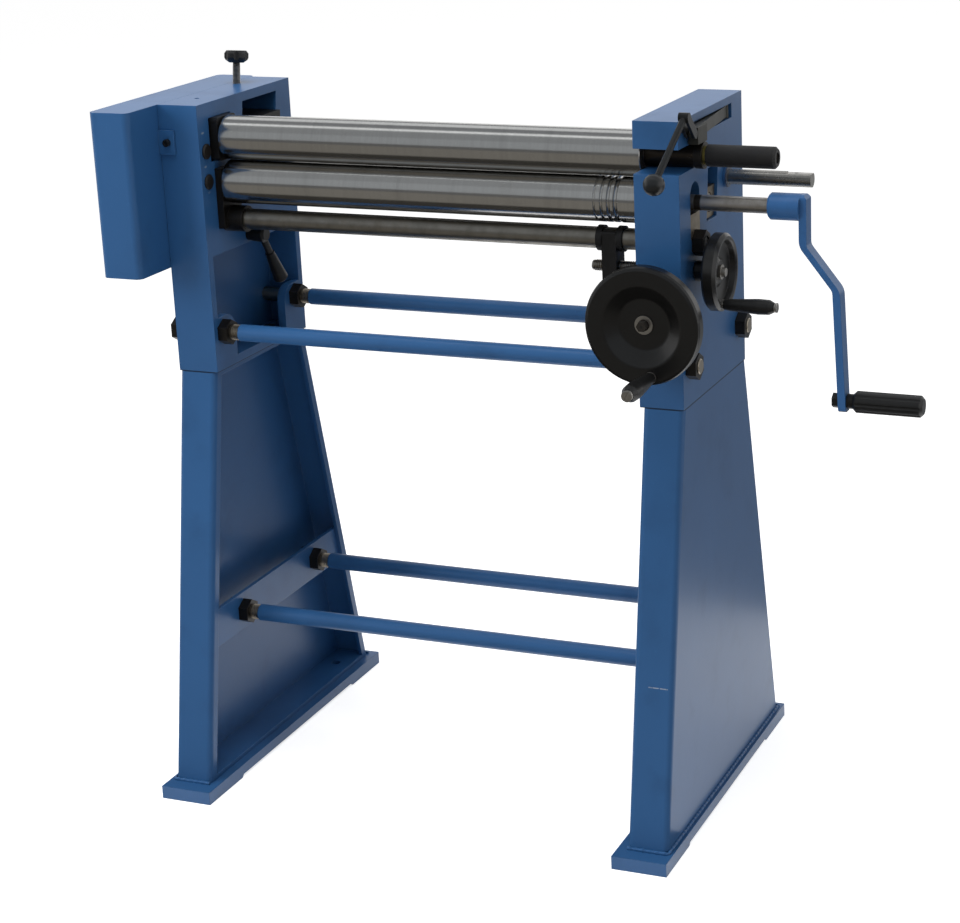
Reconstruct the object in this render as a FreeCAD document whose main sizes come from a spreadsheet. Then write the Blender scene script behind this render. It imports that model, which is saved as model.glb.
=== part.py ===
"""Manual slip roll machine on a welded stand: three rolls, hinged upper roll, wire grooves.

Frame: X runs along the rolls (right positive), Y to the rear, Z up.  The origin lies on the floor
in the middle of the four anchor holes.  All lengths are millimetres.
"""
import FreeCAD, Part
import math
import os
import re
import Sketcher

V = FreeCAD.Vector
doc = FreeCAD.newDocument("SlipRoll")
sheet = doc.addObject("Spreadsheet::Sheet", "Sizes")
derived = doc.addObject("App::FeaturePython", "Derived")
known = {}
nodes = []


def size(alias, value, note):
    """Write one driving dimension into the sheet."""
    row = len(known) + 1
    sheet.set("A%d" % row, value)
    sheet.setAlias("A%d" % row, alias)
    sheet.set("B%d" % row, note)
    known[alias] = "Sizes." + alias


def bind(text):
    """Turn size names in a formula into references that the document can follow."""
    return re.sub(r"[A-Za-z_][A-Za-z_0-9]*", lambda found: known.get(found.group(0), found.group(0)), text)


def derive(alias, formula):
    """Name a value that follows from the driving dimensions."""
    derived.addProperty("App::PropertyFloat", alias)
    derived.setExpression(alias, bind(formula))
    derived.recompute()
    known[alias] = "Derived." + alias


def number(formula):
    """Present value of a formula, for starting positions of sketch points."""
    derived.setExpression("Present", bind(formula))
    derived.recompute()
    return derived.Present


# ---------------------------------------------------------------- rolls and their spacing
size("roll_r", "30", "radius of all three rolls")
size("roll_gap", "0.6", "gap between the upper and lower roll when closed")
size("roll_set", "58", "front face of the heads to the upper and lower roll axis")
size("upper_up", "319", "underside of the heads to the upper roll axis")
size("span", "620", "clear width between the heads")
size("end_play_left", "12", "left head to the end of the roll bodies, room for the guide plate")
size("end_play_right", "2", "right head to the end of the roll bodies, room for the swing")
size("journal_r", "13", "radius of the bearing journals")
size("outer_journal_r", "15.7", "radius of the upper roll journal in the open slot")
size("fit", "0.05", "radial clearance of a running fit")
size("gap", "0.3", "clearance between pieces that pass each other")
size("wire_pitch", "9.6", "spacing of the wire grooves")
size("wire_set", "66", "inner face of the right head to the first wire groove")
size("wire_r", "1.4", "radius of the smallest wire groove")
size("wire_step", "0.55", "growth of each wire groove")
size("rear_set", "67", "front rolls to the rear roll axis at rest, along the depth")
size("rear_up", "245", "underside of the heads to the rear roll axis at rest")
size("lean_angle", "8", "rearward lean of the rear roll slides, degrees")
size("rear_play", "4", "head to the end of the rear roll body")

# ---------------------------------------------------------------- heads
size("head_t", "60", "thickness of a head along the rolls")
size("head_front", "127", "mid frame to the front face")
size("head_rear", "127", "mid frame to the rear face")
size("head_bottom", "593", "height of the joint between head and stand")
size("head_h", "370", "height of a head")
size("web", "12", "wall thickness of the head")
size("solid_up", "161", "underside of the heads to the thick upper part")
size("seat_w", "57", "width of the corner seats for the tie rods")
size("seat_h", "75", "height of the corner seats")
size("seat_r", "24", "corner radius of the corner seats")
size("slot_w", "36", "width of the lower bearing slots")
size("slot_down", "45.4", "lower roll axis to the bottom of its slots")
size("slot_room", "8.6", "room above the right lower bearing")
size("slot_room_left", "1.2", "room above the left lower bearing")
size("open_slot_r", "16", "half height of the open slot for the upper roll")
size("rear_slot_w", "40", "width of the rear bearing slots, along the depth")
size("rear_slot_low", "21", "rear roll axis to the bottom of its slot")
size("slide_h", "20", "half height of a rear bearing slide")
size("rear_travel", "24", "travel of the rear roll along its slides")

# ---------------------------------------------------------------- upper roll pivot and swing
size("pivot_in", "33", "inner face of the left head to the pivot axis")
size("swivel_w", "50", "depth of the swivel block")
size("swivel_h", "59", "height of the swivel block")
size("swivel_r", "6", "edge radius of the swivel block")
size("swivel_back", "15", "pivot axis to the outer end of the swivel block")
size("swivel_out", "10", "swivel block in front of the head face")
size("swing_room_f", "5.2", "room in front of the swivel block for its swing")
size("swing_room_r", "3", "room behind the swivel block for its swing")
size("swivel_web", "8", "wall left outside the swivel block")
size("swing_hole", "4.5", "extra radius of the hole that the swinging journal passes")
size("pin_r", "9", "radius of the pivot pins")
size("pin_in", "15", "depth of the pivot pins in the block")
size("pin_up", "12.5", "upper pivot pin above the block")
size("pin_down", "8", "lower pivot pin below the block")
size("oil_r", "3.5", "radius of the oil hole over the pivot")
size("plug_r", "10.5", "radius of the two plugs in the left head")
size("plug_set", "16.5", "front face to the plugs in the left head")
size("plug_upper_down", "13.5", "upper roll axis down to the upper plug")
size("plug_lower_down", "55", "upper roll axis down to the lower plug")

# ---------------------------------------------------------------- lower roll adjustment
size("shaft_r", "14", "radius of the wedge shaft")
size("shaft_drop", "51.9", "lower roll axis down to the wedge shaft axis")
size("wedge_travel", "12", "sideways travel of the wedge shaft")
size("wedge_slope", "0.25", "slope of the wedge faces")
size("foot_x", "18", "length of the bearing foot on the wedge")
size("foot_w", "23", "width of the bearing foot")
size("foot_top", "12", "high end of the wedge face above the shaft axis")
size("foot_set", "14", "inner face of the head to the bearing foot, right")
size("foot_set_left", "22", "inner face of the left head to the bearing foot")
size("block_in", "2", "bearing blocks set back from the inner face")
size("block_out", "12", "bearing blocks set back from the outer face")
size("shaft_end", "14", "outer face of the right head to the shaft end")
size("shaft_back", "14", "outer face of the left head to the shaft end")
size("shaft_neck_r", "9", "radius of the outer neck of the wedge shaft")
size("bush_af", "30", "hexagon of the end bush across flats")
size("bush_l", "15", "length of the end bush")
size("guide_w", "48", "width of the left guide plate")
size("guide_t", "10", "thickness of the left guide plate")
size("guide_up", "20.6", "left guide plate above the lower roll axis")
size("guide_down", "62.4", "left guide plate below the lower roll axis")
size("guide_bush_r", "18", "radius of the bush on the left guide plate")
size("guide_bush_l", "22", "length of the bush on the left guide plate")
size("cover_plate_h", "32", "height of the steel plate in the right slot")
size("nutbar_set", "63", "inner face of the right head to the nut bar")
size("nutbar_t", "20", "thickness of the nut bar")
size("nutbar_w", "30", "width of the nut bar")
size("nutbar_up", "11.5", "nut bar above the shaft axis")
size("nutbar_down", "54.5", "nut bar below the shaft axis")
size("collar_r", "16.8", "radius of the clamping collars")
size("collar_l", "8", "length of the clamping collars")

# ---------------------------------------------------------------- small handwheel
size("screw_drop", "36.5", "wedge shaft axis down to the adjusting screw")
size("screw_r", "6.5", "radius of the adjusting screw")
size("screw_tail", "18", "screw tip past the nut bar")
size("hub_l", "21.7", "length of the small wheel hub")
size("hub_r", "13.5", "radius of the small wheel hub")
size("wheel_t", "19", "width of the small wheel rim")
size("wheel_r", "50", "radius of the small wheel")
size("wheel_rim", "9", "thickness of the small wheel rim")
size("wheel_disc", "6", "thickness of the small wheel disc")
size("grip_at", "42", "radius on which the small wheel handle sits")
size("grip_turn", "242.8", "angle of the small wheel handle, degrees")
size("grip_l", "66", "length of the small wheel handle")
size("grip_r", "10", "largest radius of the small wheel handle")
size("grip_foot_r", "6.5", "radius at the foot of the small wheel handle")
size("grip_pin_r", "4", "radius of the handle pins")

# ---------------------------------------------------------------- rear roll drive
size("big_x", "28", "inner face of the right head to the big wheel axis")
size("big_up", "17", "top of the rail to the big wheel axis")
size("big_hub_l", "43", "length of the big wheel hub")
size("big_hub_r", "16", "radius of the big wheel hub")
size("big_t", "20", "width of the big wheel rim")
size("big_r", "76", "radius of the big wheel")
size("big_dish_out", "52", "outer radius of the dish in the big wheel")
size("big_dish_in", "27", "inner radius of the dish in the big wheel")
size("big_dish", "12", "depth of the dish in the big wheel")
size("big_dish_r", "8", "rounding of the dish in the big wheel")
size("big_web", "7", "thickness of the big wheel behind the dish")
size("big_grip_at", "65", "radius on which the big wheel handle sits")
size("big_grip_turn", "280", "angle of the big wheel handle, degrees")
size("big_grip_l", "78", "length of the big wheel handle")
size("big_grip_r", "11.5", "largest radius of the big wheel handle")
size("big_screw_r", "8", "radius of the big wheel screw")
size("rail_t", "12", "thickness of the rail under the wedge")
size("rail_up", "107", "underside of the heads to the top of the rail")
size("lift_slope", "0.5", "slope of the lifting wedge")
size("stem_w", "18", "width of the stem on the wedge")
size("stem_t", "15", "thickness of the stem and of the wedge")
size("ramp_up", "15", "top of the rail to the low end of the lifting wedge")
size("ramp_run", "64", "length of the lifting wedge face")
size("nut_l", "30", "length of the wedge nut")
size("ear_low", "52", "rear roll axis to the underside of the ear")
size("ear_h", "35", "height of the ear")
size("ear_front", "39.5", "star knob stud to the front edge of the ear")
size("ear_rear", "15.5", "star knob stud to the rear edge of the ear")
size("star_set", "65.5", "rear roll axis to the star knob stud, along the depth")
size("star_in", "48", "inner face of the left head to the star knob stud")
size("stud_r", "5", "radius of the star knob stud")
size("stud_down", "71.5", "stud from the head top to its lower end")
size("stud_up", "29", "stud from the head top to the star knob")
size("knob_r", "17", "radius of the star knob")
size("knob_h", "17", "height of the star knob")
size("lobes", "6", "lobes of the star knob")
size("clamp_set", "13", "clamp lever in front of the rear roll axis")
size("clamp_up", "12", "thick upper part of the head to the clamp lever")
size("clamp_hub_r", "12", "radius of the clamp lever hub")
size("clamp_hub_l", "28", "length of the clamp lever hub")
size("clamp_angle", "31.6", "rearward angle of the clamp lever, degrees")
size("clamp_arm", "36", "clamp lever axis to the grip")
size("clamp_grip_l", "54", "length of the clamp lever grip")

# ---------------------------------------------------------------- gears and their cover
size("pair_teeth", "10", "teeth of the upper and lower roll gears")
size("pair_tooth", "4.4", "tooth thickness of that pair at the pitch circle")
size("pair_bias", "3.1", "offset of the upper gear that leaves room for the swing")
size("pair_w", "16", "width of that pair")
size("pair_set", "7", "outer face of the left head to that pair")
size("train_module", "5", "module of the reduction")
size("wheel_teeth", "40", "teeth of the reduction wheel")
size("pinion_teeth", "10", "teeth of the pinion")
size("train_tooth", "4.8", "tooth thickness of the reduction at the pitch circle")
size("train_bias", "1.5", "offset of the reduction that leaves room for the lift")
size("train_w", "18", "width of the reduction gears")
size("train_set", "7", "gear pair to the reduction wheel")
size("drive_up", "9.6", "lower roll axis up to the drive shaft")
size("drive_r", "10", "radius of the drive shaft and the crank shaft")
size("drive_out", "118", "drive shaft past the right head")
size("boss_r", "14", "radius of the boss round the drive shaft")
size("boss_l", "5", "length of the boss round the drive shaft")
size("cover_x", "60", "width of the gear cover")
size("cover_reach", "133.6", "front rolls to the front of the gear cover")
size("cover_past", "10", "gear cover past the rear face of the head")
size("cover_down", "112.6", "lower roll axis down to the underside of the gear cover")
size("cover_t", "3", "sheet thickness of the gear cover")
size("cover_r", "9", "edge radius of the gear cover")
size("tab_x", "24", "width of the cover tabs")
size("tab_z", "33", "height of the cover tabs")
size("tab_down", "34", "top of the head to the top of the cover tabs")

# ---------------------------------------------------------------- crank
size("hub_out", "99", "right head to the crank hub")
size("crank_hub_r", "17.2", "radius of the crank hub")
size("crank_hub_l", "40", "length of the crank hub")
size("bar_t", "10", "thickness of the crank bar")
size("bar_w", "22", "width of the crank bar")
size("bar_round", "6", "rounding of the ends of the crank bar")
size("crank_bend_a", "48", "crank axis down to the first bend")
size("crank_bend_b", "103", "crank axis down to the second bend")
size("crank_offset", "42.8", "sideways offset of the crank bar at its second bend")
size("crank_lean", "7.2", "further offset from the second bend to the grip")
size("crank_bend_r", "12", "inner radius of the bends in the crank bar")
size("crank_l", "246.4", "crank axis to the grip axis")
size("crank_grip_r", "14", "radius of the crank grip")
size("crank_grip_l", "90", "length of the crank grip")
size("crank_pin_r", "6", "radius of the crank grip pin")
size("crank_flutes", "8", "flutes of the crank grip")

# ---------------------------------------------------------------- end of the upper roll
size("end_collar_set", "4.5", "right head to the end collar, room for the swing")
size("end_collar_l", "10.5", "length of the end collar")
size("end_collar_r", "17.2", "radius of the end collar")
size("spindle_r", "7", "radius of the spindle in the upper grip")
size("ring_l", "3", "length of the ring before the upper grip")
size("ring_r", "12", "radius of the ring before the upper grip")
size("top_grip_l", "91.7", "length of the upper grip")
size("top_grip_r", "14", "radius of the upper grip")

# ---------------------------------------------------------------- latch
size("window_set", "31", "front face to the latch window")
size("window_back", "43", "rear face to the latch window")
size("window_h", "19", "height of the latch window")
size("window_down", "10", "top of the head to the latch window")
size("window_deep", "20", "depth of the latch window")
size("hinge_set", "8", "rear end of the window to the latch hinge")
size("hinge_in", "8", "latch hinge inside the outer face")
size("hinge_r", "3", "radius of the latch hinge pin")
size("eye_r", "6", "radius of the latch eye")
size("bar_h", "15", "height of the latch bar")
size("bar_thick", "8", "thickness of the latch bar")
size("hook_end", "1", "front end of the window to the latch block")
size("hook_l", "35", "length of the latch block")
size("hook_x", "13.2", "thickness of the latch block")
size("hook_set", "1.8", "latch block in front of the head face")
size("lever_set", "25", "front face to the latch lever pivot")
size("lever_down", "19", "top of the head to the latch lever pivot")
size("fork_t", "3.6", "thickness of a fork cheek of the latch lever")
size("tongue_t", "4", "thickness of the tongue in the fork")
size("fork_w", "12", "width of a fork cheek")
size("apex_out", "24", "latch lever pivot forward to its bend")
size("apex_up", "25", "latch lever pivot up to its bend")
size("ball_set", "56", "inner face of the head to the lever ball")
size("ball_out", "104", "latch lever pivot forward to the ball")
size("ball_down", "44", "latch lever pivot down to the ball")
size("ball_r", "13.5", "radius of the lever ball")
size("rod_r", "4.25", "radius of the lever rod")

# ---------------------------------------------------------------- stands, feet and tie rods
size("stand_set", "4", "stand set back from the inner face of the head")
size("stand_wall", "6", "wall thickness of a stand")
size("stand_r", "8", "outer radius of the folds of a stand")
size("stand_front_out", "0.5", "stand past the front face of the head")
size("stand_front_splay", "101.5", "splay of the stand front down to the foot")
size("stand_rear_out", "2", "stand past the rear face of the head")
size("stand_rear_splay", "131", "splay of the stand rear down to the foot")
size("lip", "18", "width of the lips on the open side of a stand")
size("stand_open_top", "7", "band above the open side of a stand")
size("foot_h", "18.5", "height of a foot")
size("foot_lap_in", "9.2", "foot past the inner face of the head")
size("foot_lap_out", "7.2", "foot past the outer face of the head")
size("foot_front_out", "26", "foot past the front of the stand")
size("foot_rear_out", "12", "foot past the rear of the stand")
size("pad_front_l", "95", "length of the front pad")
size("pad_rear_l", "96", "length of the rear pad")
size("pad_h", "4", "height of the relief between the pads")
size("anchor_y", "200", "mid frame to an anchor hole, along the depth")
size("anchor_r", "7", "radius of an anchor hole")
size("rod_body_r", "11.75", "radius of a tie rod")
size("rod_neck_r", "10", "radius of a tie rod neck")
size("rod_neck", "13", "bare neck inside the inner nut")
size("nut_af", "31", "tie rod nut across flats")
size("nut_h", "14", "height of a tie rod nut")
size("rod_front_set", "24", "front face to the upper front tie rod")
size("rod_front_up", "53.4", "underside of the heads to the upper front tie rod")
size("rod_rear_set", "27", "rear face to the upper rear tie rod")
size("rod_rear_up", "55.7", "underside of the heads to the upper rear tie rod")
size("low_front_set", "35", "front face to the lower front tie rod")
size("low_front_up", "210", "foot to the lower front tie rod and the crossbars")
size("low_rear_set", "6", "rear face to the lower rear tie rod")
size("low_rear_up", "211.5", "foot to the lower rear tie rod")
size("crossbar_h", "54", "height of a crossbar")
size("crossbar_t", "6", "thickness of a crossbar")
size("crossbar_lap", "1", "crossbar short of the stand walls")
size("bolt_af", "16", "hexagon of the small bolts across flats")
size("bolt_r", "5", "radius of the small bolts")
size("bolt_h", "6", "height of the small bolt heads")
size("joint_bolt_y", "62", "head bolts from mid frame")

doc.recompute()
derived.addProperty("App::PropertyFloat", "Present")

# ---------------------------------------------------------------- values that follow
derive("lean", "tan(lean_angle * 1deg)")
derive("head_top", "head_bottom + head_h")
derive("upper_z", "head_bottom + upper_up")
derive("rear_z", "head_bottom + rear_up")
derive("solid_bottom", "head_bottom + solid_up")
derive("seat_top", "head_bottom + seat_h")
derive("roll_y", "roll_set - head_front")
derive("rear_y", "roll_y + rear_set")
derive("lower_z", "upper_z - 2 * roll_r - roll_gap")
derive("axis_gap", "upper_z - lower_z")
derive("slot_bottom", "lower_z - slot_down")
derive("drive_z", "lower_z + drive_up")
derive("inner", "span / 2")
derive("wire_first", "inner - wire_set")
derive("nutbar_x", "inner - nutbar_set")
derive("anchor_x", "inner + head_t / 2")
derive("outer", "inner + head_t")
derive("pivot_x", "-inner - pivot_in")
derive("shaft_z", "lower_z - shaft_drop")
derive("screw_z", "shaft_z - screw_drop")
derive("rear_slot_top", "rear_z + slide_h + rear_travel + 3")
derive("rear_slot_bottom", "rear_z - rear_slot_low")
derive("pair_module", "axis_gap / pair_teeth")
derive("train_gap", "train_module * (wheel_teeth + pinion_teeth) / 2")
derive("drive_y", "roll_y + sqrt(train_gap * train_gap - (drive_z - lower_z) * (drive_z - lower_z))")
derive("train_angle", "asin((drive_z - lower_z) / train_gap) / 1deg")
derive("pair_outer", "-outer - pair_set")
derive("pair_inner", "pair_outer - pair_w")
derive("train_outer", "pair_inner - train_set")
derive("train_inner", "train_outer - train_w")
derive("big_axis_x", "inner + big_x")
derive("big_z", "head_bottom + rail_up + big_up")
derive("grip_y", "roll_y + grip_at * cos(grip_turn * 1deg)")
derive("grip_z", "screw_z + grip_at * sin(grip_turn * 1deg)")
derive("big_grip_x", "big_axis_x + big_grip_at * cos(big_grip_turn * 1deg)")
derive("big_grip_z", "big_z + big_grip_at * sin(big_grip_turn * 1deg)")
derive("stand_in", "inner + stand_set")
derive("hub_x", "outer + hub_out")
derive("arm_x", "hub_x + crank_hub_l")
derive("grip_seat", "arm_x + crank_offset + crank_lean + bar_t")
derive("crank_y", "roll_y")
derive("crank_z", "lower_z - crank_l")
derive("top_end", "outer + end_collar_set")
derive("star_x", "-inner - star_in")
derive("ear_high", "ear_low + ear_h")
derive("window_x", "outer - window_deep")
derive("hinge_x", "outer - hinge_in")
derive("hook_in", "outer + hook_set")
derive("plug_y", "plug_set - head_front")
derive("plug_upper_z", "upper_z - plug_upper_down")
derive("plug_lower_z", "upper_z - plug_lower_down")
derive("rail_top", "head_bottom + rail_up")
derive("ramp_low", "rail_top + ramp_up")
derive("star_y", "rear_y + star_set")
derive("ear_y0", "star_y - ear_front")
derive("ear_y1", "star_y + ear_rear")
derive("clamp_y", "rear_y - clamp_set")
derive("clamp_z", "solid_bottom + clamp_up")
derive("cover_front", "cover_reach - roll_y")
derive("cover_rear", "head_rear + cover_past")
derive("cover_bottom", "lower_z - cover_down")
derive("tab_up", "head_top - tab_down")
derive("window_front", "window_set - head_front")
derive("window_rear", "head_rear - window_back")
derive("window_high", "head_top - window_down")
derive("window_low", "window_high - window_h")
derive("hinge_y", "window_rear - hinge_set")
derive("hook_front", "window_front + hook_end")
derive("hook_rear", "hook_front + hook_l")
derive("lever_y", "lever_set - head_front")
derive("lever_z", "head_top - lever_down")
derive("apex_y", "lever_y - apex_out")
derive("apex_z", "lever_z + apex_up")
derive("ball_x", "inner + ball_set")
derive("ball_y", "lever_y - ball_out")
derive("ball_z", "lever_z - ball_down")
derive("stand_front", "head_front + stand_front_out")
derive("stand_front_low", "stand_front + stand_front_splay")
derive("stand_rear", "head_rear + stand_rear_out")
derive("stand_rear_low", "stand_rear + stand_rear_splay")
derive("foot_front", "stand_front_low + foot_front_out")
derive("foot_rear", "stand_rear_low + foot_rear_out")
derive("pad_front", "foot_front - pad_front_l")
derive("pad_rear", "foot_rear - pad_rear_l")
derive("rod_front_y", "rod_front_set - head_front")
derive("rod_front_z", "head_bottom + rod_front_up")
derive("rod_rear_y", "head_rear - rod_rear_set")
derive("rod_rear_z", "head_bottom + rod_rear_up")
derive("low_front_y", "low_front_set - head_front")
derive("low_front_z", "foot_h + low_front_up")
derive("low_rear_y", "head_rear - low_rear_set")
derive("low_rear_z", "foot_h + low_rear_up")
derive("crossbar_seat", "stand_in + stand_wall")
derive("crossbar_back", "crossbar_seat + crossbar_t")
derive("stem_y", "rear_y + lean * (ramp_low - rear_z)")
derive("small_face", "outer + gap + hub_l")
derive("big_face", "-head_front - gap - big_hub_l")
derive("big_front", "big_face - big_t + big_dish")


# ---------------------------------------------------------------- building blocks
def box(name, x0, x1, y0, y1, z0, z1):
    """Block between two corners."""
    item = doc.addObject("Part::Box", name)
    item.setExpression("Length", bind("(%s) - (%s)" % (x1, x0)))
    item.setExpression("Width", bind("(%s) - (%s)" % (y1, y0)))
    item.setExpression("Height", bind("(%s) - (%s)" % (z1, z0)))
    item.setExpression("Placement.Base.x", bind(x0))
    item.setExpression("Placement.Base.y", bind(y0))
    item.setExpression("Placement.Base.z", bind(z0))
    return item


AXIS_TURN = {
    "X": FreeCAD.Rotation(V(0, 1, 0), 90),
    "Y": FreeCAD.Rotation(V(1, 0, 0), -90),
    "Z": FreeCAD.Rotation(),
}


def set_along(item, axis, start, first, second):
    """Put an item that starts at its own base onto a line along an axis."""
    across = {"X": ("x", "y", "z"), "Y": ("y", "x", "z"), "Z": ("z", "x", "y")}[axis]
    item.setExpression("Placement.Base." + across[0], bind(start))
    item.setExpression("Placement.Base." + across[1], bind(first))
    item.setExpression("Placement.Base." + across[2], bind(second))


def rod(name, axis, start, end, first, second, radius):
    """Cylinder along an axis."""
    item = doc.addObject("Part::Cylinder", name)
    item.Placement = FreeCAD.Placement(V(), AXIS_TURN[axis])
    item.setExpression("Radius", bind(radius))
    item.setExpression("Height", bind("(%s) - (%s)" % (end, start)))
    set_along(item, axis, start, first, second)
    return item


def hexagon(name, axis, start, end, first, second, flats):
    """Six-sided prism along an axis."""
    item = doc.addObject("Part::Prism", name)
    item.Polygon = 6
    item.Placement = FreeCAD.Placement(V(), AXIS_TURN[axis])
    item.setExpression("Circumradius", bind("(%s) / sqrt(3)" % flats))
    item.setExpression("Height", bind("(%s) - (%s)" % (end, start)))
    set_along(item, axis, start, first, second)
    return item


def join(name, *items):
    """One solid, or one node, from several pieces."""
    item = doc.addObject("Part::MultiFuse", name)
    item.Shapes = list(items)
    return item


def cut(name, base, *tools):
    """Base with the tools taken away."""
    item = doc.addObject("Part::Cut", name)
    item.Base = base
    item.Tool = tools[0] if len(tools) == 1 else join(name + "Tools", *tools)
    return item


def group(name, *items):
    """Separate solids kept in one node."""
    item = doc.addObject("Part::Compound", name)
    item.Links = list(items)
    return item


def plane_of(body, role):
    return [part for part in body.Origin.OriginFeatures if part.Role == role][0]


def outline(body, role, name, points):
    """Closed polygon whose corners are bound to the sizes."""
    sketch = body.newObject("Sketcher::SketchObject", name)
    sketch.AttachmentSupport = [(plane_of(body, role), "")]
    sketch.MapMode = "FlatFace"
    corners = [V(number(a), number(b), 0) for a, b in points]
    count = len(points)
    for index in range(count):
        sketch.addGeometry(Part.LineSegment(corners[index], corners[(index + 1) % count]), False)
    for index in range(count):
        sketch.addConstraint(Sketcher.Constraint("Coincident", index, 2, (index + 1) % count, 1))
    for index, pair in enumerate(points):
        for kind, axis, formula, present in (
            ("DistanceX", -2, pair[0], corners[index].x),
            ("DistanceY", -1, pair[1], corners[index].y),
        ):
            if formula == "0":
                sketch.addConstraint(Sketcher.Constraint("PointOnObject", index, 1, axis))
                continue
            place = sketch.addConstraint(Sketcher.Constraint(kind, -1, 1, index, 1, present))
            sketch.setExpression("Constraints[%d]" % place, bind(formula))
    return sketch


PLATE_PLANE = {"X": "YZ_Plane", "Y": "XZ_Plane", "Z": "XY_Plane"}


def plate(name, axis, start, end, points):
    """Flat piece with a polygon outline, between two planes across an axis."""
    body = doc.addObject("PartDesign::Body", name)
    sketch = outline(body, PLATE_PLANE[axis], name + "Outline", points)
    pad = body.newObject("PartDesign::Pad", name + "Pad")
    pad.Profile = (sketch, [""])
    pad.setExpression("Length", bind("(%s) - (%s)" % (end, start)))
    body.setExpression("Placement.Base." + axis.lower(), bind(end if axis == "Y" else start))
    body.Tip = pad
    return body


def soften(body, radius, wanted):
    """Round the edges of a body that the test picks."""
    doc.recompute()
    tip = body.Tip
    picked = []
    for index, edge in enumerate(tip.Shape.Edges):
        if wanted(edge):
            picked.append("Edge%d" % (index + 1))
    rounding = body.newObject("PartDesign::Fillet", body.Name + "Round" + str(len(body.Group)))
    rounding.Base = (tip, picked)
    rounding.setExpression("Radius", bind(radius))
    body.Tip = rounding
    return body


def runs_along(edge, axis):
    """True for a straight edge along an axis."""
    if edge.Curve.TypeId != "Part::GeomLine":
        return False
    direction = edge.Vertexes[1].Point - edge.Vertexes[0].Point
    return abs(abs(direction.normalize().dot(axis)) - 1) < 1e-6


def turned(name, axis, points, first, second):
    """Piece turned about an axis: points are (along the axis, radius)."""
    body = doc.addObject("PartDesign::Body", name)
    if axis == "X":
        sketch = outline(body, "XY_Plane", name + "Profile", points)
        line = "H_Axis"
        places = ("y", "z")
    elif axis == "Y":
        sketch = outline(body, "XY_Plane", name + "Profile", [(b, a) for a, b in points])
        line = "V_Axis"
        places = ("x", "z")
    else:
        sketch = outline(body, "XZ_Plane", name + "Profile", [(b, a) for a, b in points])
        line = "V_Axis"
        places = ("x", "y")
    turn = body.newObject("PartDesign::Revolution", name + "Turn")
    turn.Profile = (sketch, [""])
    turn.ReferenceAxis = (sketch, [line])
    turn.Angle = 360
    body.setExpression("Placement.Base." + places[0], bind(first))
    body.setExpression("Placement.Base." + places[1], bind(second))
    body.Tip = turn
    return body


def gear(name, start, end, first, second, module, teeth, tooth, bore, phase):
    """Spur gear across X: a disc with tooth gaps cut in a ring; phase points a gap."""
    body = doc.addObject("PartDesign::Body", name)
    sketch = body.newObject("Sketcher::SketchObject", name + "Blank")
    sketch.AttachmentSupport = [(plane_of(body, "YZ_Plane"), "")]
    sketch.MapMode = "FlatFace"
    pitch = "((%s) * (%s) / 2)" % (module, teeth)
    outside = "(%s + 0.65 * (%s))" % (pitch, module)
    root = "(%s - 1.1 * (%s))" % (pitch, module)
    sketch.addGeometry(Part.Circle(V(), V(0, 0, 1), number(outside)), False)
    sketch.addGeometry(Part.Circle(V(), V(0, 0, 1), number(bore)), False)
    sketch.addConstraint(Sketcher.Constraint("Coincident", 0, 3, -1, 1))
    sketch.addConstraint(Sketcher.Constraint("Coincident", 1, 3, -1, 1))
    rim = sketch.addConstraint(Sketcher.Constraint("Radius", 0, number(outside)))
    sketch.setExpression("Constraints[%d]" % rim, bind(outside))
    hole = sketch.addConstraint(Sketcher.Constraint("Radius", 1, number(bore)))
    sketch.setExpression("Constraints[%d]" % hole, bind(bore))
    pad = body.newObject("PartDesign::Pad", name + "Disc")
    pad.Profile = (sketch, [""])
    pad.setExpression("Length", bind("(%s) - (%s)" % (end, start)))
    half = "(pi * %s / (%s) - (%s) / 2)" % (pitch, teeth, tooth)
    foot = "(0.72 * %s)" % half
    tip = "(%s + 0.5 * (%s))" % (half, module)
    beyond = "(%s + 1.2 * (%s))" % (pitch, module)
    space = [
        (root, "-" + foot),
        (pitch, "-" + half),
        (beyond, "-" + tip),
        (beyond, tip),
        (pitch, half),
        (root, foot),
    ]
    space_sketch = outline(body, "YZ_Plane", name + "Gap", space)
    pocket = body.newObject("PartDesign::Pocket", name + "Cut")
    pocket.Profile = (space_sketch, [""])
    pocket.Type = "ThroughAll"
    pocket.SideType = "Symmetric"
    doc.recompute()
    ring = body.newObject("PartDesign::PolarPattern", name + "Teeth")
    ring.Originals = [pocket]
    ring.Axis = (plane_of(body, "X_Axis"), [""])
    ring.Angle = 360
    ring.setExpression("Occurrences", bind(teeth))
    body.Tip = ring
    body.Placement = FreeCAD.Placement(V(), FreeCAD.Rotation(V(1, 0, 0), 1))
    body.setExpression("Placement.Rotation.Angle", bind(phase))
    body.setExpression("Placement.Base.x", bind(start))
    body.setExpression("Placement.Base.y", bind(first))
    body.setExpression("Placement.Base.z", bind(second))
    return body


def node(item, label):
    """Name a finished piece."""
    item.Label = label
    nodes.append(item)
    return item


def lean_y(height, offset):
    """Depth of a line that runs with the rear slides, at a height."""
    return "(rear_y + (%s) + lean * ((%s) - rear_z))" % (offset, height)


def lean_plate(name, x0, x1, z0, z1, front, rear):
    """Leaning block between two heights; front and rear are offsets from the slide line."""
    return plate(name, "X", x0, x1, [
        (lean_y(z0, front), z0),
        (lean_y(z0, rear), z0),
        (lean_y(z1, rear), z1),
        (lean_y(z1, front), z1),
    ])


# ================================================================ heads
def tie_hole(name, x0, x1, y, z):
    return rod(name, "X", x0, x1, y, z, "rod_neck_r")


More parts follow.
